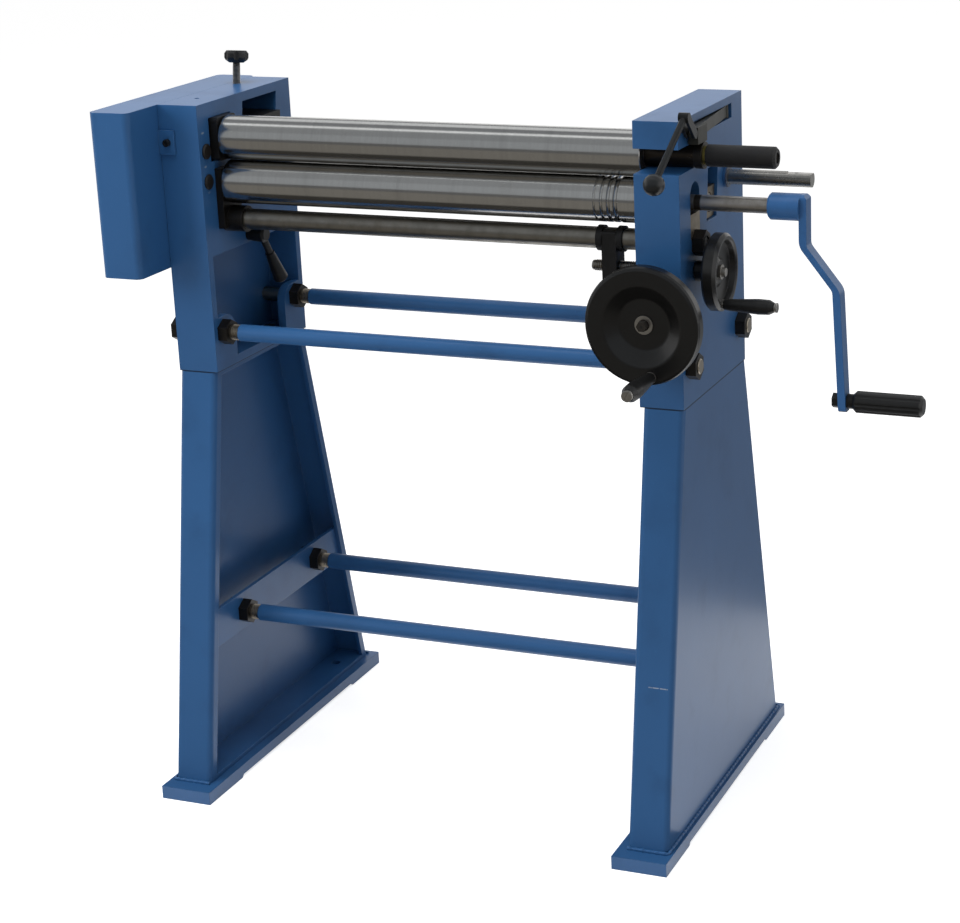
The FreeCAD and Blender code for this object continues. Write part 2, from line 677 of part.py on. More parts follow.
def head(side, x0, x1, skin0, skin1, open0, open1, seat0, seat1):
    """Head casting without its slots: solid above, pocket and corner seats below."""
    block = box(side + "Block", x0, x1, "-head_front", "head_rear", "head_bottom", "head_top")
    pocket = box(side + "Pocket", open0, open1, "-head_front + web", "head_rear - web",
                 "head_bottom + web", "solid_bottom")
    shell = cut(side + "Shell", block, pocket)
    seats = []
    for place, y0, y1 in (
        ("Front", "-head_front + web / 2", "-head_front + seat_w"),
        ("Rear", "head_rear - seat_w", "head_rear - web / 2"),
    ):
        corner = y1 if place == "Front" else y0
        seat = plate(side + place + "Seat", "X", seat0, seat1, [
            (y0, "head_bottom + web / 2"),
            (y1, "head_bottom + web / 2"),
            (y1, "seat_top"),
            (y0, "seat_top"),
        ])
        edge_y = number(corner)
        edge_z = number("seat_top")
        soften(seat, "seat_r", lambda edge, ey=edge_y, ez=edge_z: runs_along(edge, V(1, 0, 0))
               and abs(edge.Vertexes[0].Point.y - ey) < 0.01
               and abs(edge.Vertexes[0].Point.z - ez) < 0.01)
        seats.append(seat)
    whole = join(side + "Whole", shell, *seats)
    holes = [
        tie_hole(side + "HoleFront", x0, x1, "rod_front_y", "rod_front_z"),
        tie_hole(side + "HoleRear", x0, x1, "rod_rear_y", "rod_rear_z"),
        rod(side + "JointFront", "Z", "head_bottom", "head_bottom + web",
            "(%s + %s) / 2" % (open0, open1), "-joint_bolt_y", "bolt_r"),
        rod(side + "JointRear", "Z", "head_bottom", "head_bottom + web",
            "(%s + %s) / 2" % (open0, open1), "joint_bolt_y", "bolt_r"),
        rod(side + "DriveHole", "X", x0, x1, "drive_y", "drive_z", "drive_r + fit"),
    ]
    return whole, holes


right_whole, right_holes = head("RightHead", "inner", "outer", "outer - web", "outer",
                                "inner", "outer - web", "inner", "inner + web")
right_rail = box("RightRail", "inner", "outer - web / 2", "-head_front + web / 2", "head_rear - web / 2",
                 "rail_top - rail_t", "rail_top")
right_tools = right_holes + [
    box("OpenSlot", "inner", "outer", "-head_front", "roll_y",
        "upper_z - open_slot_r", "upper_z + open_slot_r"),
    rod("OpenSlotEnd", "X", "inner", "outer", "roll_y", "upper_z", "open_slot_r"),
    box("RightSlot", "inner", "outer", "roll_y - slot_w / 2", "roll_y + slot_w / 2",
        "slot_bottom", "lower_z + slot_room"),
    rod("RightSlotTop", "X", "inner", "outer", "roll_y", "lower_z + slot_room", "slot_w / 2"),
    rod("RightShaftHole", "X", "inner", "outer", "roll_y", "shaft_z", "shaft_r + fit"),
    rod("RightScrewHole", "X", "inner", "outer", "roll_y", "screw_z", "screw_r + fit"),
    lean_plate("RightRearSlot", "inner", "outer", "rear_slot_bottom", "rear_slot_top",
               "-rear_slot_w / 2", "rear_slot_w / 2"),
    lean_plate("RightStemSlot", "inner", "inner + stem_t + 2 * gap", "solid_bottom - 1",
               "rear_slot_bottom + 1", "-stem_w / 2 - gap", "stem_w / 2 + gap"),
    rod("BigScrewHole", "Y", "-head_front", "-head_front + web", "big_axis_x", "big_z",
        "big_screw_r + fit"),
    box("Window", "window_x", "outer", "window_front", "window_rear", "window_low", "window_high"),
    rod("HingeHole", "Z", "window_low - 8", "window_high + 6", "hinge_x", "hinge_y", "hinge_r"),
]
node(cut("RightHead", join("RightBody", right_whole, right_rail), *right_tools), "right_head")

node(cut(
    "DriveBoss",
    rod("DriveBossForm", "X", "outer", "outer + boss_l", "drive_y", "drive_z", "boss_r"),
    rod("DriveBossBore", "X", "outer", "outer + boss_l", "drive_y", "drive_z", "drive_r + fit"),
), "drive_boss")

left_whole, left_holes = head("LeftHead", "-outer", "-inner", "-outer", "-outer + web",
                              "-outer + web", "-inner", "-inner - web", "-inner")
left_tools = left_holes + [
    box("SwivelPocket", "-outer + swivel_web", "-inner", "roll_y - swivel_w / 2 - swing_room_f",
        "roll_y + swivel_w / 2 + swing_room_r", "upper_z - swivel_h / 2 - gap",
        "upper_z + swivel_h / 2 + gap"),
    rod("SwivelPass", "X", "-outer", "-outer + swivel_web", "roll_y", "upper_z", "journal_r + swing_hole"),
    rod("UpperPinHole", "Z", "upper_z + swivel_h / 2", "upper_z + swivel_h / 2 + pin_up",
        "pivot_x", "roll_y", "pin_r + fit"),
    rod("OilHole", "Z", "upper_z + swivel_h / 2", "head_top", "pivot_x", "roll_y", "oil_r"),
    rod("LowerPinHole", "Z", "upper_z - swivel_h / 2 - pin_down - gap", "upper_z - swivel_h / 2",
        "pivot_x", "roll_y", "pin_r + fit"),
    box("LeftSlot", "-outer", "-inner", "roll_y - slot_w / 2", "roll_y + slot_w / 2",
        "slot_bottom", "lower_z + slot_room_left"),
    rod("LeftSlotTop", "X", "-outer", "-inner", "roll_y", "lower_z + slot_room_left", "slot_w / 2"),
    rod("LeftShaftHole", "X", "-outer", "-inner", "roll_y", "shaft_z", "shaft_r + fit"),
    lean_plate("LeftRearSlot", "-outer", "-inner", "rear_slot_bottom",
               "rear_z + ear_high + rear_travel + 1", "-rear_slot_w / 2", "rear_slot_w / 2"),
    plate("EarPocket", "X", "-outer + 3", "-inner", [
        (lean_y("rear_z + ear_low - gap", "0"), "rear_z + ear_low - gap"),
        ("ear_y1 + gap", "rear_z + ear_low - gap"),
        ("ear_y1 + 1 + lean * (ear_h + rear_travel)", "rear_z + ear_high + rear_travel + 1"),
        (lean_y("rear_z + ear_high + rear_travel + 1", "0"), "rear_z + ear_high + rear_travel + 1"),
    ]),
    rod("PlugUpperHole", "X", "-inner - 10", "-inner", "plug_y", "plug_upper_z", "plug_r - 2"),
    rod("PlugLowerHole", "X", "-inner - 10", "-inner", "plug_y", "plug_lower_z", "plug_r - 2"),
    rod("ClampHole", "X", "-inner - 20", "-inner", "clamp_y", "clamp_z", "bolt_r + fit"),
    rod("FrontTabHole", "Y", "-head_front", "-head_front + web", "-outer + tab_x / 2 + 1.5",
        "tab_up - tab_z / 2", "bolt_r / 2 + 0.5"),
    rod("RearTabHole", "Y", "head_rear - web", "head_rear", "-outer + tab_x / 2 + 1.5",
        "tab_up - tab_z / 2", "bolt_r / 2 + 0.5"),
]
star_hole = rod("StarHole", "Z", "0", "80", "0", "0", "stud_r + fit")
star_sink = rod("StarSink", "Z", "0", "50", "0", "0", "stud_r + 3 + gap")
for item, drop in ((star_hole, "40"), (star_sink, "58")):
    item.Placement = FreeCAD.Placement(V(), FreeCAD.Rotation(V(1, 0, 0), -1))
    item.setExpression("Placement.Rotation.Angle", bind("-lean_angle"))
    item.setExpression("Placement.Base.x", bind("star_x"))
    item.setExpression("Placement.Base.y", bind("star_y - %s * sin(lean_angle * 1deg)" % drop))
    item.setExpression("Placement.Base.z", bind("head_top - %s * cos(lean_angle * 1deg)" % drop))
left_tools.append(star_hole)
left_tools.append(star_sink)
node(cut("LeftHead", left_whole, *left_tools), "left_head")

# ================================================================ upper roll pivot
swivel = plate("SwivelForm", "Z", "upper_z - swivel_h / 2", "upper_z + swivel_h / 2", [
    ("-inner + swivel_out", "roll_y - swivel_w / 2"),
    ("-inner + swivel_out", "roll_y + swivel_w / 2"),
    ("pivot_x - swivel_back", "roll_y + swivel_w / 2"),
    ("pivot_x - swivel_back", "roll_y - swivel_w / 2"),
])
soften(swivel, "swivel_r", lambda edge: runs_along(edge, V(1, 0, 0)))
node(cut(
    "SwivelBlock", swivel,
    rod("SwivelBore", "X", "pivot_x - swivel_back", "-inner + swivel_out", "roll_y", "upper_z",
        "journal_r + fit"),
    rod("SwivelPinTop", "Z", "upper_z + swivel_h / 2 - pin_in", "upper_z + swivel_h / 2",
        "pivot_x", "roll_y", "pin_r"),
    rod("SwivelPinLow", "Z", "upper_z - swivel_h / 2", "upper_z - swivel_h / 2 + pin_in",
        "pivot_x", "roll_y", "pin_r"),
), "swivel_block")
node(group(
    "SwivelPins",
    rod("PinTop", "Z", "upper_z + swivel_h / 2 - pin_in", "upper_z + swivel_h / 2 + pin_up - gap",
        "pivot_x", "roll_y", "pin_r"),
    rod("PinLow", "Z", "upper_z - swivel_h / 2 - pin_down", "upper_z - swivel_h / 2 + pin_in",
        "pivot_x", "roll_y", "pin_r"),
), "swivel_pins")

plugs = []
for name, height in (("Upper", "plug_upper_z"), ("Lower", "plug_lower_z")):
    plugs.append(turned("Plug" + name, "X", [
        ("-inner - 10", "0"),
        ("-inner - 10", "plug_r - 2"),
        ("-inner", "plug_r - 2"),
        ("-inner", "plug_r"),
        ("-inner + 1.5", "plug_r"),
        ("-inner + 3", "plug_r - 2"),
        ("-inner + 3", "0"),
    ], "plug_y", height))
node(group("CapPlugs", *plugs), "cap_plugs")


# ================================================================ lower bearings and wedge shaft
def lower_block(name, x0, x1, foot_start):
    """Bearing block in its slot with a foot on the wedge face."""
    low = "shaft_z + shaft_r + wedge_travel * wedge_slope + 2 * gap"
    half = "(slot_w / 2 - fit)"
    body = join(
        name + "Body",
        box(name + "Lower", x0, x1, "roll_y - " + half, "roll_y + " + half, low, "lower_z"),
        rod(name + "Round", "X", x0, x1, "roll_y", "lower_z", half),
        plate(name + "Foot", "Y", "roll_y - foot_w / 2", "roll_y + foot_w / 2", [
            (foot_start, "shaft_z + foot_top + fit"),
            ("%s + foot_x" % foot_start, "shaft_z + foot_top + fit - wedge_slope * foot_x"),
            ("%s + foot_x" % foot_start, low + " + 1"),
            (foot_start, low + " + 1"),
        ]),
    )
    return cut(name, body, rod(name + "Bore", "X", x0, x1, "roll_y", "lower_z", "journal_r + fit"))


node(lower_block("RightLowerBlock", "inner + block_in", "outer - block_out", "inner + foot_set"),
     "right_lower_block")
node(lower_block("LeftLowerBlock", "-outer + block_out", "-inner - block_in",
                 "-inner - foot_set_left - foot_x"),
     "left_lower_block")


def wedge_cut(name, foot_start):
    """Tool that leaves a wedge face on the shaft under a bearing foot."""
    run = "(foot_x + wedge_travel + 1)"
    rise = "(shaft_r - foot_top + 1)"
    return plate(name, "Y", "roll_y - shaft_r - 1", "roll_y + shaft_r + 1", [
        ("%s - %s / wedge_slope" % (foot_start, rise), "shaft_z + foot_top + " + rise),
        ("%s + %s" % (foot_start, run), "shaft_z + foot_top - wedge_slope * " + run),
        ("%s + %s" % (foot_start, run), "shaft_z + foot_top + " + rise),
    ])


shaft = turned("WedgeShaftForm", "X", [
    ("-outer + shaft_back", "0"),
    ("-outer + shaft_back", "shaft_r - 1.5"),
    ("-outer + shaft_back + 1.5", "shaft_r"),
    ("outer - 4", "shaft_r"),
    ("outer - 4", "shaft_neck_r"),
    ("outer + shaft_end - 1", "shaft_neck_r"),
    ("outer + shaft_end", "shaft_neck_r - 1"),
    ("outer + shaft_end", "0"),
], "roll_y", "shaft_z")
node(cut(
    "CrossShaft", shaft,
    wedge_cut("WedgeRight", "inner + foot_set"),
    wedge_cut("WedgeLeft", "-inner - foot_set_left - foot_x"),
), "cross_shaft")
node(cut(
    "EndBush",
    hexagon("EndBushHex", "X", "outer", "outer + bush_l", "roll_y", "shaft_z", "bush_af"),
    rod("EndBushBore", "X", "outer", "outer + bush_l", "roll_y", "shaft_z", "shaft_neck_r + fit"),
), "shaft_end_bush")
node(cut(
    "LeftGuide",
    join(
        "LeftGuideForm",
        box("LeftGuidePlate", "-inner", "-inner + guide_t", "roll_y - guide_w / 2", "roll_y + guide_w / 2",
            "lower_z - guide_down", "lower_z + guide_up"),
        rod("LeftGuideBush", "X", "-inner", "-inner + guide_t + guide_bush_l", "roll_y", "shaft_z",
            "guide_bush_r"),
    ),
    rod("LeftGuideShaft", "X", "-inner", "-inner + guide_t + guide_bush_l", "roll_y", "shaft_z",
        "shaft_r + fit"),
    rod("LeftGuideRoll", "X", "-inner", "-inner + guide_t", "roll_y",
        "lower_z - wedge_travel * wedge_slope / 2", "journal_r + wedge_travel * wedge_slope / 2 + 1"),
), "left_guide_plate")
node(cut(
    "RightGuide",
    box("RightGuidePlate", "outer - block_out + gap", "outer", "roll_y - slot_w / 2", "roll_y + slot_w / 2",
        "slot_bottom", "slot_bottom + cover_plate_h"),
    rod("RightGuideNotch", "X", "outer - block_out", "outer", "roll_y", "shaft_z", "shaft_r + fit"),
    rod("RightGuideRound", "X", "outer - block_out", "outer", "roll_y", "lower_z", "drive_r + 4"),
), "right_guide_plate")
node(cut(
    "NutBar",
    soften(plate("NutBarForm", "X", "nutbar_x", "nutbar_x + nutbar_t", [
        ("roll_y - nutbar_w / 2", "shaft_z - nutbar_down"),
        ("roll_y + nutbar_w / 2", "shaft_z - nutbar_down"),
        ("roll_y + nutbar_w / 2", "shaft_z + nutbar_up"),
        ("roll_y - nutbar_w / 2", "shaft_z + nutbar_up"),
    ]), "3", lambda edge: runs_along(edge, V(1, 0, 0))),
    rod("NutBarShaft", "X", "nutbar_x", "nutbar_x + nutbar_t", "roll_y", "shaft_z", "shaft_r"),
    rod("NutBarScrew", "X", "nutbar_x", "nutbar_x + nutbar_t", "roll_y", "screw_z", "screw_r + fit"),
), "shaft_nut_bar")
collars = []
for name, start in (("Inner", "nutbar_x - collar_l"), ("Outer", "nutbar_x + nutbar_t")):
    collars.append(cut(
        "Collar" + name,
        rod("CollarRing" + name, "X", start, start + " + collar_l", "roll_y", "shaft_z", "collar_r"),
        rod("CollarBore" + name, "X", start, start + " + collar_l", "roll_y", "shaft_z", "shaft_r"),
    ))
node(group("ShaftCollars", *collars), "shaft_collars")

# ================================================================ small handwheel
node(turned("SmallWheel", "X", [
    ("outer + gap", "screw_r"),
    ("outer + gap", "hub_r - 1"),
    ("outer + gap + 1", "hub_r"),
    ("small_face", "hub_r"),
    ("small_face + 1", "hub_r + 4"),
    ("small_face + 3", "wheel_r - wheel_rim - 3"),
    ("small_face", "wheel_r - wheel_rim"),
    ("small_face", "wheel_r - 3"),
    ("small_face + 3", "wheel_r"),
    ("small_face + wheel_t - 4", "wheel_r"),
    ("small_face + wheel_t", "wheel_r - 4"),
    ("small_face + wheel_t", "wheel_r - wheel_rim + 2"),
    ("small_face + wheel_t - 2", "wheel_r - wheel_rim"),
    ("small_face + wheel_disc + 4", "wheel_r - wheel_rim - 2"),
    ("small_face + wheel_disc + 1", "hub_r + 6"),
    ("small_face + wheel_disc + 4", "hub_r + 1"),
    ("small_face + wheel_disc + 4", "screw_r"),
], "roll_y", "screw_z"), "small_wheel")
node(turned("SmallScrew", "X", [
    ("nutbar_x - screw_tail", "0"),
    ("nutbar_x - screw_tail", "screw_r - 1"),
    ("nutbar_x - screw_tail + 1", "screw_r"),
    ("inner - 12", "screw_r"),
    ("inner - 12", "screw_r + 5"),
    ("inner - gap", "screw_r + 5"),
    ("inner - gap", "screw_r"),
    ("small_face + wheel_disc + 4", "screw_r"),
    ("small_face + wheel_disc + 4", "screw_r + 3"),
    ("small_face + wheel_disc + 7", "screw_r + 3"),
    ("small_face + wheel_disc + 7", "screw_r"),
    ("small_face + wheel_disc + 12", "screw_r - 1"),
    ("small_face + wheel_disc + 12", "0"),
], "roll_y", "screw_z"), "small_wheel_screw")
node(turned("SmallGripPin", "X", [
    ("small_face + wheel_t", "0"),
    ("small_face + wheel_t", "grip_foot_r"),
    ("small_face + wheel_t + 2", "grip_foot_r"),
    ("small_face + wheel_t + 2", "grip_pin_r"),
    ("small_face + wheel_t + grip_l + 3", "grip_pin_r"),
    ("small_face + wheel_t + grip_l + 3", "grip_pin_r + 2"),
    ("small_face + wheel_t + grip_l + 5", "grip_pin_r + 1"),
    ("small_face + wheel_t + grip_l + 5", "0"),
], "grip_y", "grip_z"), "small_grip_pin")
node(turned("SmallGrip", "X", [
    ("small_face + wheel_t + 2 + gap", "grip_pin_r + fit"),
    ("small_face + wheel_t + 2 + gap", "grip_foot_r"),
    ("small_face + wheel_t + 10", "grip_foot_r + 1"),
    ("small_face + wheel_t + grip_l * 0.72", "grip_r"),
    ("small_face + wheel_t + grip_l - 4", "grip_r - 0.5"),
    ("small_face + wheel_t + grip_l + 3 - gap", "grip_r - 4"),
    ("small_face + wheel_t + grip_l + 3 - gap", "grip_pin_r + fit"),
], "grip_y", "grip_z"), "small_wheel_grip")

# ================================================================ big handwheel and lifting wedge
big_wheel = turned("BigWheel", "Y", [
    ("-head_front - gap", "big_screw_r"),
    ("-head_front - gap", "big_hub_r - 1"),
    ("-head_front - gap - 1", "big_hub_r"),
    ("big_front + big_web", "big_hub_r"),
    ("big_front + big_web", "big_dish_in"),
    ("big_face - 3", "big_dish_out + 4"),
    ("big_face", "big_dish_out + 7"),
    ("big_face", "big_r - 3"),
    ("big_face - 3", "big_r"),
    ("big_face - big_t + 5", "big_r"),
    ("big_face - big_t + 1.5", "big_r - 1.5"),
    ("big_face - big_t", "big_r - 5"),
    ("big_face - big_t", "big_dish_out"),
    ("big_front", "big_dish_in + 6"),
    ("big_front", "big_screw_r"),
], "big_axis_x", "big_z")


def dish_edge(edge):
    """True for the two circles that bound the sloping wall of the dish."""
    if edge.Curve.TypeId != "Part::GeomCircle":
        return False
    return any(abs(edge.Curve.Radius - number(radius)) < 0.01 and abs(edge.Vertexes[0].Y - number(y)) < 0.01
               for radius, y in (("big_dish_out", "big_face - big_t"), ("big_dish_in + 6", "big_front")))


node(soften(big_wheel, "big_dish_r", dish_edge), "big_wheel")
node(turned("BigScrew", "Y", [
    ("big_front", "0"),
    ("big_front", "big_screw_r"),
    ("-head_front + web + gap", "big_screw_r"),
    ("-head_front + web + gap", "big_screw_r + 6"),
    ("-head_front + web + 9", "big_screw_r + 6"),
    ("-head_front + web + 9", "big_screw_r"),
    ("stem_y + stem_w / 2 + nut_l", "big_screw_r"),
    ("stem_y + stem_w / 2 + nut_l + 1", "big_screw_r - 1"),
    ("stem_y + stem_w / 2 + nut_l + 1", "0"),
], "big_axis_x", "big_z"), "big_wheel_screw")
node(join(
    "BigBolt",
    rod("BigWasher", "Y", "big_front - 2", "big_front", "big_axis_x", "big_z", "12"),
    hexagon("BigBoltHead", "Y", "big_front - 11", "big_front - 2", "big_axis_x", "big_z", "bolt_af - 4"),
), "big_wheel_bolt")
node(turned("BigGripPin", "Y", [
    ("big_face - big_t", "0"),
    ("big_face - big_t", "grip_foot_r + 1"),
    ("big_face - big_t - 3", "grip_foot_r + 1"),
    ("big_face - big_t - 3", "grip_pin_r + 1"),
    ("big_face - big_t - big_grip_l - 3", "grip_pin_r + 1"),
    ("big_face - big_t - big_grip_l - 3", "grip_pin_r + 3"),
    ("big_face - big_t - big_grip_l - 6", "grip_pin_r + 2"),
    ("big_face - big_t - big_grip_l - 6", "0"),
], "big_grip_x", "big_grip_z"), "big_grip_pin")
node(turned("BigGrip", "Y", [
    ("big_face - big_t - 3 - gap", "grip_pin_r + 1 + fit"),
    ("big_face - big_t - 3 - gap", "grip_foot_r + 1"),
    ("big_face - big_t - 12", "grip_foot_r + 1.6"),
    ("big_face - big_t - big_grip_l * 0.7", "big_grip_r"),
    ("big_face - big_t - big_grip_l + 5", "big_grip_r - 0.6"),
    ("big_face - big_t - big_grip_l - 3 + gap", "big_grip_r - 4"),
    ("big_face - big_t - big_grip_l - 3 + gap", "grip_pin_r + 1 + fit"),
], "big_grip_x", "big_grip_z"), "big_wheel_grip")

ramp_start = "(stem_y - stem_w / 2)"
node(cut(
    "RearWedge",
    join(
        "RearWedgeForm",
        plate("RearRamp", "X", "inner + gap", "inner + 2 * gap + stem_t + 1", [
            (ramp_start + " - 2", "rail_top + fit"),
            (ramp_start + " + ramp_run", "rail_top + fit"),
            (ramp_start + " + ramp_run", "ramp_low + lift_slope * ramp_run"),
            (ramp_start, "ramp_low"),
            (ramp_start + " - 2", "ramp_low"),
        ]),
        box("RearNut", "inner + 2 * gap + stem_t", "outer - web - gap", ramp_start, ramp_start + " + nut_l",
            "rail_top + fit", "big_z + big_screw_r + 6"),
    ),
    rod("RearNutBore", "Y", ramp_start + " - 3", ramp_start + " + ramp_run + 1", "big_axis_x", "big_z",
        "big_screw_r + fit"),
), "rear_wedge")


# ================================================================ rear roll slides
def rear_slide(name, x0, x1, more):
    """Leaning bearing slide, with what else is part of it."""
    half = "(rear_slot_w / 2 - fit)"
    form = lean_plate(name + "Block", x0, x1, "rear_z - slide_h", "rear_z + slide_h", "-" + half, half)
    solid = join(name + "Form", form, *more)
    return cut(name, solid, rod(name + "Bore", "X", x0, x1, "rear_y", "rear_z", "journal_r + fit"))


stem = plate("RearStem", "X", "inner + gap", "inner + gap + stem_t", [
    ("stem_y - stem_w / 2", "ramp_low + fit"),
    ("stem_y + stem_w / 2", "ramp_low + fit + lift_slope * stem_w"),
    (lean_y("rear_z - slide_h + 2", "stem_w / 2"), "rear_z - slide_h + 2"),
    (lean_y("rear_z - slide_h + 2", "-stem_w / 2"), "rear_z - slide_h + 2"),
])
node(rear_slide("RightRearSlide", "inner + gap", "outer - 4", [stem]), "right_rear_slide")

column = lean_plate("EarColumn", "-outer + 6", "-inner - gap", "rear_z + slide_h - 2", "rear_z + ear_high",
                    "-rear_slot_w / 2 + fit", "rear_slot_w / 2 - fit")
ear = plate("EarForm", "X", "-outer + 4", "-inner + swivel_out", [
    (lean_y("rear_z + ear_low", "2"), "rear_z + ear_low"),
    ("ear_y1 - 3", "rear_z + ear_low"),
    ("ear_y1", "rear_z + ear_high"),
    (lean_y("rear_z + ear_high", "2"), "rear_z + ear_high"),
])
ear_body = join("LeftEar", column, ear)
left_slide = rear_slide("LeftRearSlideForm", "-outer + 4", "-inner - gap", [ear_body])
ear_hole = rod("EarHole", "Z", "0", "90", "0", "0", "stud_r + fit")
ear_hole.Placement = FreeCAD.Placement(V(), FreeCAD.Rotation(V(1, 0, 0), -1))
ear_hole.setExpression("Placement.Rotation.Angle", bind("-lean_angle"))
ear_hole.setExpression("Placement.Base.x", bind("star_x"))
ear_hole.setExpression("Placement.Base.y", bind("star_y - 90 * sin(lean_angle * 1deg)"))
ear_hole.setExpression("Placement.Base.z", bind("head_top - 90 * cos(lean_angle * 1deg)"))
node(cut(
    "LeftRearSlide", left_slide, ear_hole,
    box("EarFlat", "-inner + gap - 1", "-inner + swivel_out + 1", lean_y("rear_z", "-rear_slot_w"), "ear_y0",
        "rear_z + ear_low - 1", "rear_z + ear_high + 1"),
), "left_rear_slide")


def on_star(item):
    """Lean an upright piece onto the star knob axis."""
    item.Placement = FreeCAD.Placement(V(), FreeCAD.Rotation(V(1, 0, 0), -1))
    item.setExpression("Placement.Rotation.Angle", bind("-lean_angle"))
    item.setExpression("Placement.Base.x", bind("star_x"))
    item.setExpression("Placement.Base.y", bind("star_y"))
    item.setExpression("Placement.Base.z", bind("head_top"))
    return item


stud = on_star(turned("StarStud", "Z", [
    ("-stud_down", "0"),
    ("-stud_down", "stud_r - 1"),
    ("-stud_down + 1", "stud_r"),
    ("-12", "stud_r"),
    ("-12", "stud_r + 3"),
    ("-8 - gap", "stud_r + 3"),
    ("-8 - gap", "stud_r"),
    ("stud_up + knob_h - 3", "stud_r"),
    ("stud_up + knob_h - 3", "0"),
], "0", "0"))
knob = doc.addObject("PartDesign::Body", "StarKnob")
knob_profile = outline(knob, "XZ_Plane", "KnobProfile", [
    ("stud_r", "stud_up"),
    ("knob_r - 7", "stud_up"),
    ("knob_r - 1.5", "stud_up + 4"),
    ("knob_r", "stud_up + 7"),
    ("knob_r", "stud_up + knob_h - 4"),
    ("knob_r - 3", "stud_up + knob_h"),
    ("stud_r", "stud_up + knob_h"),
])
knob_turn = knob.newObject("PartDesign::Revolution", "KnobTurn")
knob_turn.Profile = (knob_profile, [""])
knob_turn.ReferenceAxis = (knob_profile, ["V_Axis"])
knob_turn.Angle = 360
lobe_sketch = knob.newObject("Sketcher::SketchObject", "KnobLobe")
lobe_sketch.AttachmentSupport = [(plane_of(knob, "XY_Plane"), "")]
lobe_sketch.MapMode = "FlatFace"
lobe_sketch.addGeometry(Part.Circle(V(number("knob_r + 3"), 0, 0), V(0, 0, 1), 5), False)
lobe_sketch.addConstraint(Sketcher.Constraint("PointOnObject", 0, 3, -1))
lobe_place = lobe_sketch.addConstraint(Sketcher.Constraint("DistanceX", -1, 1, 0, 3, number("knob_r + 3")))
lobe_sketch.setExpression("Constraints[%d]" % lobe_place, bind("knob_r + 3"))
lobe_size = lobe_sketch.addConstraint(Sketcher.Constraint("Radius", 0, number("knob_r * 0.31")))
lobe_sketch.setExpression("Constraints[%d]" % lobe_size, bind("knob_r * 0.31"))
lobe_cut = knob.newObject("PartDesign::Pocket", "KnobLobeCut")
lobe_cut.Profile = (lobe_sketch, [""])
lobe_cut.Type = "ThroughAll"
lobe_cut.SideType = "Symmetric"
doc.recompute()
lobe_ring = knob.newObject("PartDesign::PolarPattern", "KnobLobes")
lobe_ring.Originals = [lobe_cut]
lobe_ring.Axis = (plane_of(knob, "Z_Axis"), [""])
lobe_ring.Angle = 360
lobe_ring.setExpression("Occurrences", bind("lobes"))
knob.Tip = lobe_ring
node(join("StarKnobWhole", stud, on_star(knob)), "star_knob")

# ================================================================ clamp lever
clamp_arm = rod("ClampArm", "Z", "0", "clamp_arm + 4", "0", "0", "bolt_r")
clamp_arm.Placement = FreeCAD.Placement(V(), FreeCAD.Rotation(V(1, 0, 0), 180))
clamp_arm.setExpression("Placement.Rotation.Angle", bind("180 + clamp_angle"))
clamp_arm.setExpression("Placement.Base.x", bind("-inner + clamp_hub_l * 0.7"))
clamp_arm.setExpression("Placement.Base.y", bind("clamp_y"))
clamp_arm.setExpression("Placement.Base.z", bind("clamp_z"))
clamp_grip = turned("ClampGrip", "Z", [
    ("clamp_arm", "0"),
    ("clamp_arm", "bolt_r + 1.5"),
    ("clamp_arm + clamp_grip_l - 5", "bolt_r + 5.5"),
    ("clamp_arm + clamp_grip_l", "bolt_r + 1"),
    ("clamp_arm + clamp_grip_l", "0"),
], "0", "0")
clamp_grip.Placement = FreeCAD.Placement(V(), FreeCAD.Rotation(V(1, 0, 0), 180))
clamp_grip.setExpression("Placement.Rotation.Angle", bind("180 + clamp_angle"))
clamp_grip.setExpression("Placement.Base.x", bind("-inner + clamp_hub_l * 0.7"))
clamp_grip.setExpression("Placement.Base.y", bind("clamp_y"))
clamp_grip.setExpression("Placement.Base.z", bind("clamp_z"))
clamp_hub = turned("ClampHub", "X", [
    ("-inner - 19", "0"),
    ("-inner - 19", "bolt_r"),
    ("-inner + gap", "bolt_r"),
    ("-inner + gap", "clamp_hub_r - 2"),
    ("-inner + clamp_hub_l - 3", "clamp_hub_r"),
    ("-inner + clamp_hub_l", "clamp_hub_r - 3"),
    ("-inner + clamp_hub_l", "0"),
], "clamp_y", "clamp_z")
node(join("ClampLever", clamp_hub, clamp_arm, clamp_grip), "clamp_lever")

# ================================================================ rolls
node(turned("UpperRoll", "X", [
    ("train_outer + 5", "0"),
    ("train_outer + 5", "journal_r - 1"),
    ("train_outer + 6", "journal_r"),
    ("-inner + end_play_left", "journal_r"),
    ("-inner + end_play_left", "roll_r - 1"),
    ("-inner + end_play_left + 1", "roll_r"),
    ("inner - end_play_right - 1", "roll_r"),
    ("inner - end_play_right", "roll_r - 1"),
    ("inner - end_play_right", "outer_journal_r"),
    ("top_end", "outer_journal_r"),
    ("top_end", "spindle_r"),
    ("top_end + end_collar_l + ring_l + top_grip_l - 2", "spindle_r"),
    ("top_end + end_collar_l + ring_l + top_grip_l - 2", "0"),
], "roll_y", "upper_z"), "upper_roll")
lower_form = turned("LowerRollForm", "X", [
    ("train_inner", "0"),
    ("train_inner", "drive_r"),
    ("train_outer + 5", "drive_r"),
    ("train_outer + 5", "journal_r"),
    ("-inner + end_play_left", "journal_r"),
    ("-inner + end_play_left", "roll_r - 1"),
    ("-inner + end_play_left + 1", "roll_r"),
    ("inner - end_play_right - 1", "roll_r"),
    ("inner - end_play_right", "roll_r - 1"),
    ("inner - end_play_right", "journal_r"),
    ("outer - block_out", "journal_r"),
    ("outer - block_out", "drive_r"),
    ("hub_x + crank_hub_l - 3", "drive_r"),
    ("hub_x + crank_hub_l - 3", "0"),
], "roll_y", "lower_z")
